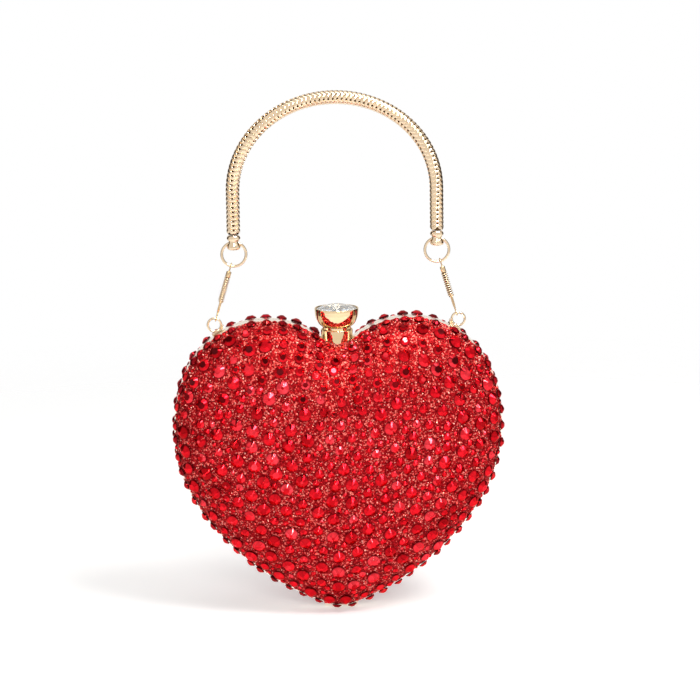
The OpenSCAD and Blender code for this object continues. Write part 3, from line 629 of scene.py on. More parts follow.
def may_land(dots, sizes, chance, upper):
    """Which darts count: none at the clasp's drum, and fewer in the upper half of the case."""
    drum = middle("clasp_base")
    drum_low, drum_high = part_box("clasp_base")
    drum_r = (drum_high[0] - drum_low[0]) / 2
    near = np.hypot(dots[:, 0] - drum.x, dots[:, 1] - drum.y) < drum_r + sizes + 0.3 * MM
    from_rim = np.abs(dots[:, 1] - CASE_HEART[1])
    high_up = np.clip((dots[:, 2] + UPPER_START) / UPPER_FADE, 0, 1)
    on_dome = np.clip((from_rim - RIM_BAND) / RIM_FADE, 0, 1)
    at_drum = near & (dots[:, 2] > DRUM_FOOT)
    return ~at_drum & (chance.random(len(dots)) > high_up * on_dome * (1 - upper))


def throw(node, taken, radius, spread, space, tries, seed, upper=1.0):
    """Seats for stones of about one radius on a shell, clear of the seats already taken.

    In the upper half of the case only the share upper of the tries counts.
    """
    corners, ways, areas = skin_of(node)
    chance = np.random.default_rng(seed)
    pick = chance.choice(len(areas), tries, p=areas / areas.sum())
    mix = np.sort(chance.random((tries, 2)), axis=1)
    share = np.stack([mix[:, 0], mix[:, 1] - mix[:, 0], 1 - mix[:, 1]], axis=1)
    dots = (corners[pick] * share[:, :, None]).sum(axis=1)
    sizes = radius * (1 + spread * (2 * chance.random(tries) - 1))
    tree = kdtree.KDTree(len(taken))
    for i, (centre, _, _) in enumerate(taken):
        tree.insert(centre, i)
    tree.balance()
    largest = radius * (1 + spread)
    reach = max(r for _, _, r in taken) + largest + space
    cell = 2 * largest + space
    grid, fresh = {}, []
    for k in np.flatnonzero(may_land(dots, sizes, chance, upper)):
        dot, size = Vector(dots[k]), float(sizes[k])
        if any(far < taken[i][2] + size + space for _, i, far in tree.find_range(dot, reach)):
            continue
        home = [int(math.floor(c / cell)) for c in dot]
        beside = [seat for step in STEPS_ROUND
                  for seat in grid.get(tuple(h + s for h, s in zip(home, step)), ())]
        if any((dot - c).length < size + r + space for c, _, r in beside):
            continue
        seat = (dot, Vector(ways[pick[k]]), size)
        grid.setdefault(tuple(home), []).append(seat)
        fresh.append(seat)
    return fresh


FILLS = [(1.75 * MM, 0.15), (1.15 * MM, 0.2)]
FILL_GAP = 0.25 * MM
FILL_TRIES = 5000
SEED_TRIES = 60000
SEED_R = 0.42 * MM
for half, nodes in CRYSTAL_NODES.items():
    shell = f"{half}_shell"
    taken = [seat for node in nodes for seat in seats[node]]
    fill = []
    for step, (radius, spread) in enumerate(FILLS):
        fresh = throw(shell, taken + fill, radius, spread, FILL_GAP, FILL_TRIES, 30 + step, upper=0.12)
        fill += fresh
        print(half, "fill of", round(2 * radius * 1000, 1), "mm:", len(fresh))
    set_stones(f"{half}_small_stones", fill, [small_stone], half, 21, ruby_crystal, tilt=7)
    beads = throw(shell, taken + fill, SEED_R, 0.3, 0.0, SEED_TRIES, 33)
    bm = bmesh.new()
    bmesh.ops.create_uvsphere(bm, u_segments=4, v_segments=2, radius=1)
    set_stones(f"{half}_seed_beads", beads, [mesh_of(bm, "seed_bead")], half, 22, seed_crystal, tilt=90,
               sink=-0.35, sharp=0)

# %% [markdown]
# ## The path of the chain
# The handle is a thick snake chain held in an arch by a core. Its path is a straight leg, half an
# ellipse and the other leg. The length at every fine step lets a link be put at any distance along
# it. The chain is also wrung by 80 degrees from its legs to its crown, as the drift of its slits in
# the photograph shows.

# %% Chain path
CHAIN_D = 6.3 * MM
ARCH_RISE = 42.5 * MM
CHAIN_TWIST = math.radians(80)
Y_WAY = Vector((0, 1, 0))
chain_low, chain_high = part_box("handle_chain")
half_w = (chain_high.x - chain_low.x - CHAIN_D) / 2
spring_line = chain_high.z - CHAIN_D / 2 - ARCH_RISE
around = np.linspace(0, math.pi, 721)
arch = np.stack([half_w * np.cos(around), 0 * around, spring_line + ARCH_RISE * np.sin(around)], axis=1)
path = np.vstack([[[half_w, 0, chain_low.z]], arch, [[-half_w, 0, chain_low.z]]])
along = np.concatenate([[0], np.cumsum(np.linalg.norm(np.diff(path, axis=0), axis=1))])
chain_len = float(along[-1])


def chain_dot(s):
    return Vector([float(np.interp(s, along, path[:, k])) for k in range(3)])


def standing(place, up):
    """A frame at a place with z along up and y to the back."""
    return Matrix.Translation(place) @ Matrix((Y_WAY.cross(up), Y_WAY, up)).transposed().to_4x4()


def chain_place(s):
    """Where a link at distance s stands: z runs along the chain."""
    step = 0.2 * MM
    way = (chain_dot(min(s + step, chain_len)) - chain_dot(max(s - step, 0))).normalized()
    turn = CHAIN_TWIST * math.sin(math.pi * s / chain_len) ** 2
    return standing(chain_dot(s), way) @ Matrix.Rotation(turn, 4, "Z")


print("chain is", round(chain_len * 1000, 1), "mm long")

# %% [markdown]
# ## A scale of the chain
# Each link is a pressed ring folded into four chevrons, and it overlaps the next like a roof tile.
# It starts as a small upright ellipse spun into a ring. Its points are moved along the chain in a
# zigzag and pinched inwards at each upper corner, where the real chain shows a dark slit. It leans
# out at its lower edge, which gives the shadow between scales, and its inner faces take the dark
# finish, which is painted shade for the hollow of the chain.

# %% Chain scales
SCALE_PITCH = 2.057 * MM
SCALE_TALL = 1.1 * MM
SCALE_THICK = 0.42 * MM
SCALE_LEAN = math.radians(10)
CHEVRON = 0.62 * MM
SLIT_DEPTH = 0.2 * MM
SLIT_OPEN = 0.45
SECTION_DOTS = 10


def signed_power(value, power):
    return math.copysign(abs(value) ** power, value)


def chain_link():
    bm = bmesh.new()
    mid = CHAIN_D / 2 - SCALE_THICK
    section = []
    for i in range(SECTION_DOTS):
        a = 2 * math.pi * i / SECTION_DOTS
        out = SCALE_THICK * signed_power(math.cos(a), 0.6)
        up = SCALE_TALL * signed_power(math.sin(a), 0.8)
        section.append((mid + out * math.cos(SCALE_LEAN) - up * math.sin(SCALE_LEAN),
                        up * math.cos(SCALE_LEAN) + out * math.sin(SCALE_LEAN)))
    spun(bm, section + section[:1], steps=48)
    weld(bm)
    for dot in bm.verts:
        a = math.atan2(dot.co.y, dot.co.x) / (math.pi / 2)
        off = abs(a - round(a))
        flat = Vector((dot.co.x, dot.co.y, 0)).normalized()
        dot.co.z *= 1 - SLIT_OPEN * math.exp(-(off / 0.1) ** 2)
        dot.co.z += CHEVRON * (1 - 4 * off)
        dot.co -= flat * SLIT_DEPTH * math.exp(-(off / 0.045) ** 2)
    bmesh.ops.recalc_face_normals(bm, faces=bm.faces)
    # The faces inside the ring take the dark second finish: painted shade.
    for face in bm.faces:
        heart = face.calc_center_median()
        face.material_index = int(math.hypot(heart.x, heart.y) < mid + 0.06 * MM)
    return mesh_of(bm, "chain_link")


link = chain_link()
link_count = int(chain_len / SCALE_PITCH) - 1
bm = bmesh.new()
for i in range(link_count):
    stamp(bm, link, chain_place(chain_len * (i + 1) / (link_count + 1)))
chain = piece_from(bm, "chain_scales", chain_gilt, "handle", "handle_chain", merge=False)
chain.data.materials.append(shadow_gilt)
print("chain of", link_count, "scales")

# %% [markdown]
# The scales are open between their chevrons, so there is something dark to see inside. A plain tube
# along the same path stands for the core that holds the arch, and its dark finish is painted shade.

# %% Chain core
CORE_D = 4.8 * MM
CORE_END = 0.4 * MM
bm = bmesh.new()
swept_wire(bm, [chain_dot(s) for s in np.linspace(CORE_END, chain_len - CORE_END, 120)], CORE_D)
piece_from(bm, "chain_core", shadow_gilt, "handle")

# %% [markdown]
# ## The end caps
# A cast cap closes each end of the chain: two rounded lobes like a bow, a tight waist, then a bell
# with slanting creases and a rounded foot. It is turned from a profile, and moving the points by a
# formula of their angle then adds lobes and creases. The ring swings in the bell, so the shape that
# its wire sweeps is cut out: a bore whose lower part opens towards both mouths, because there the
# ring curves away.

# %% End caps
RING_D = 11.2 * MM
RING_WIRE = 1.3 * MM
CAP_OUTLINE = [(0, 0), (1.7, 0.02), (2.55, 0.25), (3.05, 0.75), (3.22, 1.4), (3.1, 2.1), (2.75, 2.8),
               (2.42, 3.4), (2.3, 3.9), (2.35, 4.3), (2.7, 4.6), (2.95, 5.0), (3.05, 5.5), (3.0, 6.0),
               (2.8, 6.45), (2.5, 6.8), (0, 6.85)]
CAP_TALL = 6.85 * MM
CAP_LOBES = 0.16
CREASES = 7
CREASE_SLANT = 1.1
CREASE_DEPTH = 0.17 * MM
BORE_AIR = 0.2 * MM
NEAR_AXIS = 0.5 * MM


def carve_cap(bm, slant):
    """Gives a turned cap its two lobes and the slanting creases of its bell."""
    for dot in bm.verts:
        a, z = math.atan2(dot.co.y, dot.co.x), dot.co.z / CAP_TALL
        lobe = CAP_LOBES * math.exp(-((z - 0.8) / 0.12) ** 2) * (abs(math.cos(a)) - 0.75)
        wave = (0.5 + 0.5 * math.cos(CREASES * (a + slant * z))) ** 3
        crease = CREASE_DEPTH * math.exp(-((z - 0.25) / 0.2) ** 2) * wave
        out = Vector((dot.co.x, dot.co.y, 0))
        if out.length > NEAR_AXIS:
            dot.co += out * lobe - out.normalized() * crease


def swept_bore(pivot):
    """The space that the swinging ring needs inside a bell, as a closed mesh."""
    bm = bmesh.new()
    stations = [x / 4 * MM for x in range(-16, 17)]
    blank = [(0, stations[0])] + [(1 * MM, x) for x in stations] + [(0, stations[-1])]
    spun(bm, blank, 48, "X", pivot)
    weld(bm)
    for dot in bm.verts:
        arm = dot.co - pivot
        out = Vector((0, arm.y, arm.z))
        if out.length > NEAR_AXIS:
            dip = RING_D / 2 - math.sqrt((RING_D / 2) ** 2 - arm.x ** 2)
            down = max(0, min(1, (0.2 - out.z / out.length) / 0.84))
            reach = RING_WIRE / 2 + BORE_AIR + dip * down * 1.15
            dot.co += out.normalized() * (reach - out.length)
    bmesh.ops.recalc_face_normals(bm, faces=bm.faces)
    return mesh_of(bm, "bore")


def bored(piece, bore):
    """Cuts a closed mesh out of a piece and applies the result."""
    cutter = placed("cutter", bore)
    cut = piece.modifiers.new("bore", "BOOLEAN")
    cut.operation, cut.solver, cut.object = "DIFFERENCE", "EXACT", cutter
    bpy.context.view_layer.update()
    evaluated = piece.evaluated_get(bpy.context.evaluated_depsgraph_get())
    shaped = bpy.data.meshes.new_from_object(evaluated)
    piece.modifiers.clear()
    piece.data = shaped
    bpy.data.objects.remove(cutter)


for side, slant in (("left", CREASE_SLANT), ("right", -CREASE_SLANT)):
    low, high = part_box(f"{side}_end_cap")
    bm = bmesh.new()
    spun(bm, in_mm(CAP_OUTLINE), steps=56)
    weld(bm)
    carve_cap(bm, slant)
    bmesh.ops.translate(bm, vec=((low.x + high.x) / 2, 0, low.z), verts=bm.verts)
    cap = piece_from(bm, f"{side}_cap", chain_gilt, "handle", f"{side}_end_cap")
    bored(cap, swept_bore(Vector(joints[f"{side}_ring_swing"]["pos_m"])))
    cap.data.set_sharp_from_angle(angle=math.radians(50))
    print(cap.name, "bored:", len(cap.data.polygons), "faces, foot at", round(low.z * 1000, 2), "mm")

# %% [markdown]
# ## Rings and hooks
# The handle hangs from the case by two jump rings and two wire hooks. A ring's ends only meet, so a
# fine line crosses its wire. A hook is one thin wire folded double, with an eye at both ends, and
# its strands twist a quarter turn near each eye. A close coil is wound round its upper half: a wire
# swept along a helix, with a dark core for the shade between its turns.

# %% Rings
SEAM_DEPTH = 0.16
SEAM_WIDTH = 0.2 * MM


def nick(bm, hub, seam):
    """Narrows the wire of a ring at one angle, where its two ends meet."""
    for dot in bm.verts:
        arm = dot.co - hub
        turn = math.atan2(arm.z, arm.x)
        off = abs((turn - seam + math.pi) % (2 * math.pi) - math.pi) * RING_D / 2
        wire_mid = hub + Vector((arm.x, 0, arm.z)).normalized() * RING_D / 2
        keep = 1 - SEAM_DEPTH * math.exp(-(off / SEAM_WIDTH) ** 2)
        dot.co = wire_mid + (dot.co - wire_mid) * keep


for side, seam in (("left", -62), ("right", 242)):
    bm = bmesh.new()
    hub = middle(f"{side}_ring")
    wire_loop(bm, RING_D / 2, RING_WIRE / 2, "Y", hub, steps=96, sides=14)
    nick(bm, hub, math.radians(seam))
    piece_from(bm, f"{side}_jump_ring", chain_gilt, f"{side}_ring", f"{side}_ring")

# %% Hooks and coils
HOOK_LEN = 25.6 * MM
HOOK_WIRE = 0.6 * MM
LUG_WIRE = 1.1 * MM
EYE_D = 2.8 * MM
EYE_AIR = 0.3 * MM
STRAND_R = 0.3 * MM
TWIST_SHARE = 0.15
SLEEVE = [(0.2, -2.6), (1.05, -2.7), (1.2, -3.0), (1.2, -5.2), (1.05, -5.45), (0.2, -5.5)]
COLLAR = [(0.2, -17.0), (1.0, -17.05), (1.15, -17.3), (1.0, -17.6), (0.2, -17.65)]
COIL_WIRE = 0.56 * MM
COIL_TURNS = 11
COIL_R = 1.2 * MM
COIL_TOP = -5.55 * MM
COIL_END = -16.9 * MM
SHADE_R = 0.84 * MM


def hook_place(side):
    """Origin at the upper pivot, z up the hook, y to the back."""
    top = Vector(joints[f"{side}_hook_swing"]["pos_m"])
    end = Vector(joints["case_swing"]["pos_m"])
    end.x = math.copysign(end.x, top.x)
    return standing(top, (top - end).normalized())


def strand(u, low, high, half_turn):
    """A point of one strand of the doubled wire: it twists a quarter turn away from each eye."""
    near_eye = min(u, 1 - u) / TWIST_SHARE
    turn = math.pi / 2 * (1 - min(1, near_eye)) + half_turn
    return (STRAND_R * math.cos(turn), STRAND_R * math.sin(turn), low + (high - low) * u)


def hook_shape():
    """The doubled wire with its eyes, its sleeve and its collar, upright with the pivot at 0."""
    bm = bmesh.new()
    slack = EYE_D / 2 - HOOK_WIRE / 2 - EYE_AIR
    top_eye, low_eye = RING_WIRE / 2 - slack, slack - LUG_WIRE / 2 - HOOK_LEN
    for z in (top_eye, low_eye):
        wire_loop(bm, EYE_D / 2, HOOK_WIRE / 2, "X", (0, 0, z), steps=40, sides=10)
    low, high = low_eye + EYE_D / 2, top_eye - EYE_D / 2
    for half_turn in (0, math.pi):
        swept_wire(bm, [strand(i / 60, low, high, half_turn) for i in range(61)], HOOK_WIRE)
    for outline in (SLEEVE, COLLAR):
        spun(bm, in_mm(outline), steps=28)
    return bm


def shade_shape():
    """The dark core inside the coil, painted shade for the gaps between its turns."""
    bm = bmesh.new()
    spun(bm, [(0, COIL_END), (SHADE_R, COIL_END), (SHADE_R, COIL_TOP), (0, COIL_TOP)], steps=20)
    return bm


def helix_dot(radius, turn, z):
    return (radius * math.cos(2 * math.pi * turn), radius * math.sin(2 * math.pi * turn), z)


def coil_shape():
    bm = bmesh.new()
    pitch = (COIL_END - COIL_TOP) / COIL_TURNS
    turns = [i / 20 for i in range(20 * COIL_TURNS + 1)]
    swept_wire(bm, [helix_dot(COIL_R, turn, COIL_TOP + pitch * turn) for turn in turns], COIL_WIRE)
    return bm


for side in ("left", "right"):
    hook = f"{side}_hook"
    shapes = [("wire_hook", hook_shape(), wire_gilt, "gilt", hook, 40),
              ("coil_core", shade_shape(), shadow_gilt, "steel", None, 40),
              ("wire_coil", coil_shape(), chain_gilt, "gilt", f"{side}_hook_coil", 50)]
    for name, bm, finish, slot, node, sharp in shapes:
        bmesh.ops.transform(bm, matrix=hook_place(side), verts=bm.verts)
        piece_from(bm, f"{side}_{name}", finish, hook, node, sharp)

# %% [markdown]
# ## Lugs
# A lug is a narrow strip soldered to the rear band. Its end nearer the middle turns up, and a small
# ring stands on it. The strip follows the round of the lobe, so a rectangle is spun about the
# lobe's centre through a few degrees and its edges are bevelled. A flattened ball at the ring's
# foot is the solder.

# %% Lugs
BAND_R = 41.4 * MM
SEAT = 0.05 * MM
LUG_RING_D = 6.1 * MM
LUG_TURN = math.radians(59)
STRIP_T = 0.85 * MM
STRIP_W = 2.2 * MM
STRIP_ARC = math.radians(9.2)
STRIP_LIFT = 1.5 * MM
STRIP_ROUND = 0.2 * MM
SOLDER = (1.2 * MM, 0.8 * MM, 0.75 * MM, 1)


def lug_strip(sign):
    """The strip of one lug round the centre of its lobe, with its inner end turned up."""
    bm = bmesh.new()
    inner, outer = BAND_R + SEAT, BAND_R + SEAT + STRIP_T
    section = [(inner, -STRIP_W / 2), (outer, -STRIP_W / 2), (outer, STRIP_W / 2), (inner, STRIP_W / 2)]
    base = bm.faces.new([bm.verts.new((r, y, 0)) for r, y in section])
    bmesh.ops.spin(bm, geom=[base], cent=(0, 0, 0), axis=(0, -1, 0), angle=STRIP_ARC, steps=12,
                   use_merge=False)
    for dot in bm.verts:
        a = math.atan2(dot.co.z, dot.co.x)
        lift = max(0, a / STRIP_ARC - 0.72) / 0.28
        dot.co += Vector((math.cos(a), 0, math.sin(a))) * (STRIP_LIFT * lift * lift)
    stand = Matrix.Rotation(STRIP_ARC / 2 - LUG_TURN, 4, "Y")
    bmesh.ops.transform(bm, matrix=Matrix.Diagonal((sign, 1, 1, 1)) @ stand, verts=bm.verts)
    bmesh.ops.recalc_face_normals(bm, faces=bm.faces)
    crisp = [e for e in bm.edges if len(e.link_faces) == 2 and e.calc_face_angle() > math.radians(50)]
    bmesh.ops.bevel(bm, geom=crisp, offset=STRIP_ROUND, segments=2, profile=0.5, affect="EDGES",
                    material=-1)
    return bm


for side, sign in (("left", -1), ("right", 1)):
    low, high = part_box(f"{side}_lug")
    ring_out = LUG_RING_D / 2 + LUG_WIRE / 2
    eye = Vector((sign * (max(abs(low.x), abs(high.x)) - ring_out), 0, high.z - ring_out))
    way = Vector((sign * math.cos(LUG_TURN), 0, math.sin(LUG_TURN)))
    lobe = eye - way * (BAND_R + SEAT + STRIP_T + LUG_RING_D / 2)
    bm = lug_strip(sign)
    bmesh.ops.translate(bm, vec=lobe, verts=bm.verts)
    wire_loop(bm, LUG_RING_D / 2, LUG_WIRE / 2, "Y", eye, steps=56, sides=12)
    joint_at = Matrix.Translation(eye - way * (LUG_RING_D / 2 + 0.15 * MM))
    bmesh.ops.create_uvsphere(bm, u_segments=20, v_segments=10, radius=1,
                              matrix=joint_at @ Matrix.Diagonal(SOLDER))
    piece_from(bm, f"{side}_frame_lug", chain_gilt, "case", f"{side}_lug", sharp=45)
    print("its eye stands at", [round(v * 1000, 2) for v in eye], "mm")

# %% [markdown]
# ## The clasp
# The clasp is a turned drum in the cleft and a deep cup that slides in it. Both are mirror
# polished, so their outline has to be smooth: a few points are rounded off with a Catmull-Rom curve
# before the profile is spun.

# %% Clasp cup and drum
CUP_FOOT = [(0.82, 0.0), (6.0, 0.0), (6.4, 0.1), (6.6, 0.4), (6.6, 3.7)]
CUP_BELLY = [(6.6, 3.9), (7.25, 4.35), (8.45, 5.5), (9.4, 7.2), (10.0, 9.2), (10.2, 11.2)]
CUP_RIM = [(10.2, 11.2), (10.24, 11.8), (10.24, 12.5), (10.05, 12.69), (9.75, 12.6), (9.66, 12.1)]
CUP_BOWL = [(9.66, 12.1), (9.6, 10.4), (8.9, 7.6), (6.6, 5.7), (2.2, 5.22)]
CUP_BED = [(0.0, 5.2)]


def soft_profile(dots, steps=6):
    """A smooth open curve through the given (radius, height) points in mm."""
    dots = [Vector(d) * MM for d in dots]
    ends = [2 * dots[0] - dots[1]] + dots + [2 * dots[-1] - dots[-2]]
    out = []
    for a, b, c, d in zip(ends, ends[1:], ends[2:], ends[3:]):
        for t in (i / steps for i in range(steps)):
            square, cube = 2 * a - 5 * b + 4 * c - d, 3 * b - a - 3 * c + d
            out.append(0.5 * (2 * b + (c - a) * t + square * t ** 2 + cube * t ** 3))
    return [(p.x, p.y) for p in out + dots[-1:]]


cup_mid, cup_foot = middle("clasp_cup"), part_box("clasp_cup")[0].z
outside = in_mm(CUP_FOOT) + soft_profile(CUP_BELLY)
inside = soft_profile(CUP_RIM, 4)[1:] + soft_profile(CUP_BOWL)[1:] + in_mm(CUP_BED)
bm = bmesh.new()
spun(bm, outside + inside, steps=96, centre=(cup_mid.x, cup_mid.y, cup_foot))
piece_from(bm, "clasp_bowl", cup_gilt, "button", "clasp_cup", sharp=55)

# %% [markdown]
# The drum's foot has the shape of the cleft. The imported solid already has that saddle, so it stays
# and only gets its finish. A thin rolled bead is added at its top.

# %% Drum bead
BEAD_R = 0.3 * MM
BEAD_IN = 0.25 * MM
BEAD_DOWN = 0.12 * MM
drum_low, drum_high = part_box("clasp_base")
drum_r = (drum_high.x - drum_low.x) / 2
bead_at = (0, middle("clasp_base").y, drum_high.z - BEAD_DOWN)
bm = bmesh.new()
wire_loop(bm, drum_r - BEAD_IN, BEAD_R, "Z", bead_at, steps=96, sides=10)
piece_from(bm, "clasp_drum_bead", cup_gilt, "case")

# %% [markdown]
# ## The clasp's crystal
# The big stone is a round brilliant with a low crown, ground like the small ones: three tiers of
# cuts above the girdle, a flat table, and two tiers below for the pavilion that sits hidden in the
# cup.

# %% Clasp crystal
RIM_ABOVE_FOOT = 12.0 * MM
# Each tier: number of cuts, turn in steps, share of the radius, millimetres above the rim, slope.
TIERS = [(16, 0.0, 1.0, -0.2, 52), (8, 0.5, 0.9, 0.45, 30), (8, 0.0, 0.62, 1.5, 16),
         (16, 0.5, 1.0, -0.7, -46), (8, 0.0, 0.8, -2.9, -36)]
gem_low, gem_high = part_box("clasp_crystal")
gem_r = (gem_high.x - gem_low.x) / 2
bm = bmesh.new()
bmesh.ops.create_cone(bm, cap_ends=True, segments=32, radius1=gem_r, radius2=gem_r,
                      depth=gem_high.z - gem_low.z,
                      matrix=Matrix.Translation((0, 0, (gem_high.z + gem_low.z) / 2)))
for count, shift, share, rise, lean in TIERS:
    slope = math.radians(lean)
    height = Vector((0, 0, cup_foot + RIM_ABOVE_FOOT + rise * MM))
    for i in range(count):
        out = round_way(2 * math.pi * (i + shift) / count)
        way = out * abs(math.sin(slope)) + Vector((0, 0, math.copysign(math.cos(slope), lean)))
        grind(bm, out * gem_r * share + height, way, 1e-7)
bmesh.ops.translate(bm, vec=(cup_mid.x, cup_mid.y, 0), verts=bm.verts)
piece_from(bm, "clasp_gem", clear_crystal, "button", "clasp_crystal", sharp=0)

# %% [markdown]
# ## The return spring
# A short compression spring in the drum lifts the cup. Its end turns lie close to their neighbours,
# so that it stands square. It rides on the button, with the cup.

# %% Return spring
SPRING_WIRE = 0.6 * MM
CLOSE_PITCH = 0.62 * MM
SPRING_TURNS = 3.5
low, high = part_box("clasp_spring")
spring_r, climb = high.x - SPRING_WIRE / 2, high.z - low.z - SPRING_WIRE
knees = [0, 1, SPRING_TURNS - 1, SPRING_TURNS]
heights = low.z + SPRING_WIRE / 2 + np.array([0, CLOSE_PITCH, climb - CLOSE_PITCH, climb])
bm = bmesh.new()
swept_wire(bm, [helix_dot(spring_r, turn, float(np.interp(turn, knees, heights)))
                for turn in np.linspace(0, SPRING_TURNS, 169)], SPRING_WIRE)
spring = piece_from(bm, "return_spring", nickel, "button", "clasp_spring")
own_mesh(spring)

# %% [markdown]
# ## Padded lining
# Each half is lined with satin over thin foam, stitched to a card former in diamonds. The lining's
# solid is welded and divided into edges of about 2 mm, and its inner side is raised into pillows
# between two families of seams. These are straight in the front view, as fabric is quilted before
# it is formed.

# %% Linings
QUILT = 15 * MM
DIAGONAL = 1.414 * QUILT
PUFF = 1.1 * MM
PILLOW_FADE = 7 * MM
LONGEST_EDGE = 2 * MM


def fine_copy(node):
    """A welded copy of a CAD solid with its long edges divided."""
    bm = bmesh.new()
    bm.from_mesh(frame["nodes"][node].data)
    weld(bm, 0.002 * MM)
    bmesh.ops.dissolve_limit(bm, angle_limit=math.radians(0.5), verts=bm.verts, edges=bm.edges)
    bmesh.ops.triangulate(bm, faces=bm.faces)
    for _ in range(3):
        long = [e for e in bm.edges if e.calc_length() > LONGEST_EDGE]
        bmesh.ops.subdivide_edges(bm, edges=long, cuts=1)
        bmesh.ops.triangulate(bm, faces=bm.faces)
    bm.normal_update()
    return bm


def quilt(bm, core):
    """Raises a pillow in each diamond of the side that faces the core."""
    for dot in bm.verts:
        if dot.normal.dot(core - dot.co) <= 0 or abs(dot.normal.y) < 0.05:
            continue
        u, w = (dot.co.x + dot.co.z) / DIAGONAL, (dot.co.x - dot.co.z) / DIAGONAL
        pillow = (abs(math.sin(math.pi * u)) * abs(math.sin(math.pi * w))) ** 0.5
        away = min(1.0, abs(dot.co.y - core.y) / PILLOW_FADE)
        dot.co += dot.normal * PUFF * pillow * away


for half, body in HALF_BODY.items():
    bm = fine_copy(f"{half}_lining")
    quilt(bm, Vector(CASE_HEART))
    lining = piece_from(bm, f"{half}_padded_lining", lining_satin, body, f"{half}_lining", 60)

# %% [markdown]
# ## Pieces that keep their solids
# Shells, frames, knuckles, the pin and the latch are plain shapes whose solids are already right.
# They only need their finish: glittering resin on the shells, pale gilt on the metal that shows,
# and nickel plated steel for the works.

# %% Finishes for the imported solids
solid_finishes = {
    resin_bed: ["rear_shell", "front_shell"],
    frame_gilt: ["rear_frame", "front_frame", "rear_knuckles", "front_knuckles"],
    cup_gilt: ["clasp_base"],
    nickel: ["hinge_pin", "catch_tongue", "clasp_stem", "latch_bar"],
}
for finish, nodes in solid_finishes.items():
    for node in nodes:
        mesh = frame["nodes"][node].data
        mesh.materials.clear()
        mesh.materials.append(finish)
    print(finish.name, "on", ", ".join(nodes))

# %% [markdown]
# ## Light and ground
# The picture is a product shot on white. A camera ray that misses the purse sees plain white. Metal
# and crystal mirror what is round them, and a purse lit by white alone looks flat, so mirrored rays
# see a studio: white all round, a dark hood high above the front, and black cards behind at both
# sides.

# %% World
FILL_LIGHT = 0.34
LARGER = {"operation": "MAXIMUM"}
SMOOTH = {"interpolation_type": "SMOOTHSTEP"}
SKY = [(0.0, "#F4F0EC"), (0.4, "#8C8682"), (0.8, "#201C1A"), (1.0, "#100E0E")]
world = bpy.data.worlds.new("studio")
bpy.context.scene.world = world
world.use_nodes = True
tree = world.node_tree
tree.nodes.clear()
way = add(tree, "SeparateXYZ", Vector=add(tree, "TexCoord").outputs["Generated"]).outputs
front = add(tree, "MapRange", SMOOTH, Value=way["Y"], From_Min=-0.3, From_Max=0.3, To_Min=1.0, To_Max=0.0)
above = add(tree, "MapRange", SMOOTH, Value=way["Z"], From_Min=0.74, From_Max=0.95)
hood = add(tree, "Math", TIMES, _0=front, _1=above)
sideways = add(tree, "Math", {"operation": "ABSOLUTE"}, _0=way["X"])
beside = add(tree, "MapRange", Value=sideways, From_Min=0.5, From_Max=0.62)
behind = add(tree, "MapRange", Value=way["Y"], From_Min=0.0, From_Max=0.2, To_Max=0.75)
cards = add(tree, "Math", TIMES, _0=beside, _1=behind)
dark = add(tree, "Math", LARGER, _0=hood, _1=cards)
mirrored = add(tree, "ValToRGB", stops=SKY, Fac=dark)
rays = add(tree, "LightPath").outputs
clear_view = add(tree, "Math", LARGER, _0=rays["Is Camera Ray"], _1=rays["Is Transmission Ray"])
fill = add(tree, "Background", Color=linear("#FFFFFF"), Strength=FILL_LIGHT)
studio = add(tree, "Background", Color=mirrored, Strength=1.0)
white = add(tree, "Background", Color=linear("#FFFFFF"), Strength=1.0)
soft = add(tree, "MixShader", Fac=rays["Is Glossy Ray"], _1=fill, _2=studio)
seen = add(tree, "MixShader", Fac=clear_view, _1=soft, _2=white)
add(tree, "OutputWorld", Surface=seen)
print("studio of", len(tree.nodes), "nodes")

# %% [markdown]
# Four soft panels add their light. The fill in front lights matt surfaces only and is never mirrored.
# The key from the right gives the shadow. The narrow warm strip is only mirrored, as glints on metal
# and facets. The last one hangs above.

# %% Lamps
CASE_MIDDLE = Vector((0, 0, -0.15))


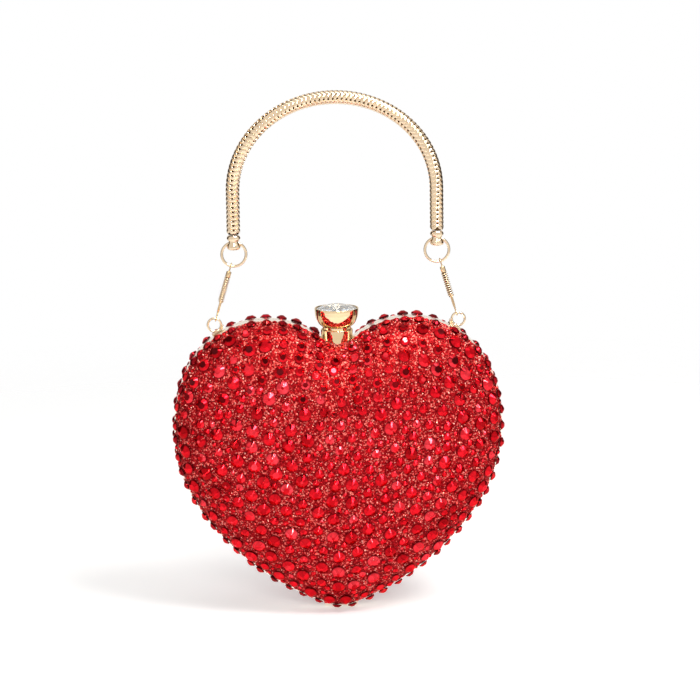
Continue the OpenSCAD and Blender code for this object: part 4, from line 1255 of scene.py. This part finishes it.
def panel(name, azimuth, elevation, distance, size, power, colour="#FFFFFF"):
    """A soft rectangular lamp that looks at the middle of the case, at two angles in degrees."""
    data = bpy.data.lights.new(name, "AREA")
    data.shape, data.size, data.size_y, data.energy = "RECTANGLE", *size, power
    data.color = linear(colour)[:3]
    lamp = placed(name, data)
    way = direction(math.radians(azimuth), math.radians(elevation))
    aim = way.to_track_quat("Z", "Y").to_matrix().to_4x4()
    lamp.matrix_world = Matrix.Translation(CASE_MIDDLE + way * distance) @ aim
    return lamp


fill = panel("front_fill", 0, 22, 1.5, (0.6, 0.4), 9)
fill.visible_glossy = False
panel("key_panel", 46, 52, 1.3, (0.45, 0.45), 9)
strip = panel("strip_panel", 9, 52, 1.3, (0.09, 1.3), 19, "#FFEBD0")
strip.visible_diffuse = False
panel("top_panel", -20, 82, 1.2, (0.8, 0.5), 3)

# %% [markdown]
# ## The floor
# The purse stands on its tip on a white sweep, a large disc just under the lowest stone. It is matt
# white with a little light of its own for the camera, so that it comes out pure white where no
# shadow falls, and it fades out towards its edge.

# %% Floor
FLOOR_R = 1.6
FLOOR_GAP = 0.2 * MM
FLOOR_GLOW = 0.35
floor_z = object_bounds()[0][2] - FLOOR_GAP
paper, tree, place = new_finish("white_paper_sweep", "#FFFFFF")
rays = add(tree, "LightPath").outputs
lit = add(tree, "Math", LARGER, _0=rays["Is Camera Ray"], _1=rays["Is Glossy Ray"])
lift = add(tree, "Math", TIMES, _0=lit, _1=FLOOR_GLOW)
glow = add(tree, "Emission", Color=linear("#FFFFFF"), Strength=lift)
matt = add(tree, "BsdfDiffuse", Color=linear("#F2F1EF"))
both = add(tree, "AddShader", _0=matt, _1=glow)
gone = add(tree, "BsdfTransparent")
far = add(tree, "VectorMath", {"operation": "LENGTH"}, _0=place).outputs["Value"]
fade = add(tree, "MapRange", SMOOTH, Value=far, From_Min=0.30, From_Max=0.75)
mixed = add(tree, "MixShader", Fac=fade, _1=both, _2=gone)
add(tree, "OutputMaterial", Surface=mixed)

bm = bmesh.new()
bmesh.ops.create_circle(bm, cap_ends=True, segments=96, radius=FLOOR_R,
                        matrix=Matrix.Translation((0, 0, floor_z)))
mesh = mesh_of(bm, "floor")
mesh.materials.append(paper)
floor = placed("floor", mesh)
print("floor at", round(floor_z * 1000, 2), "mm")
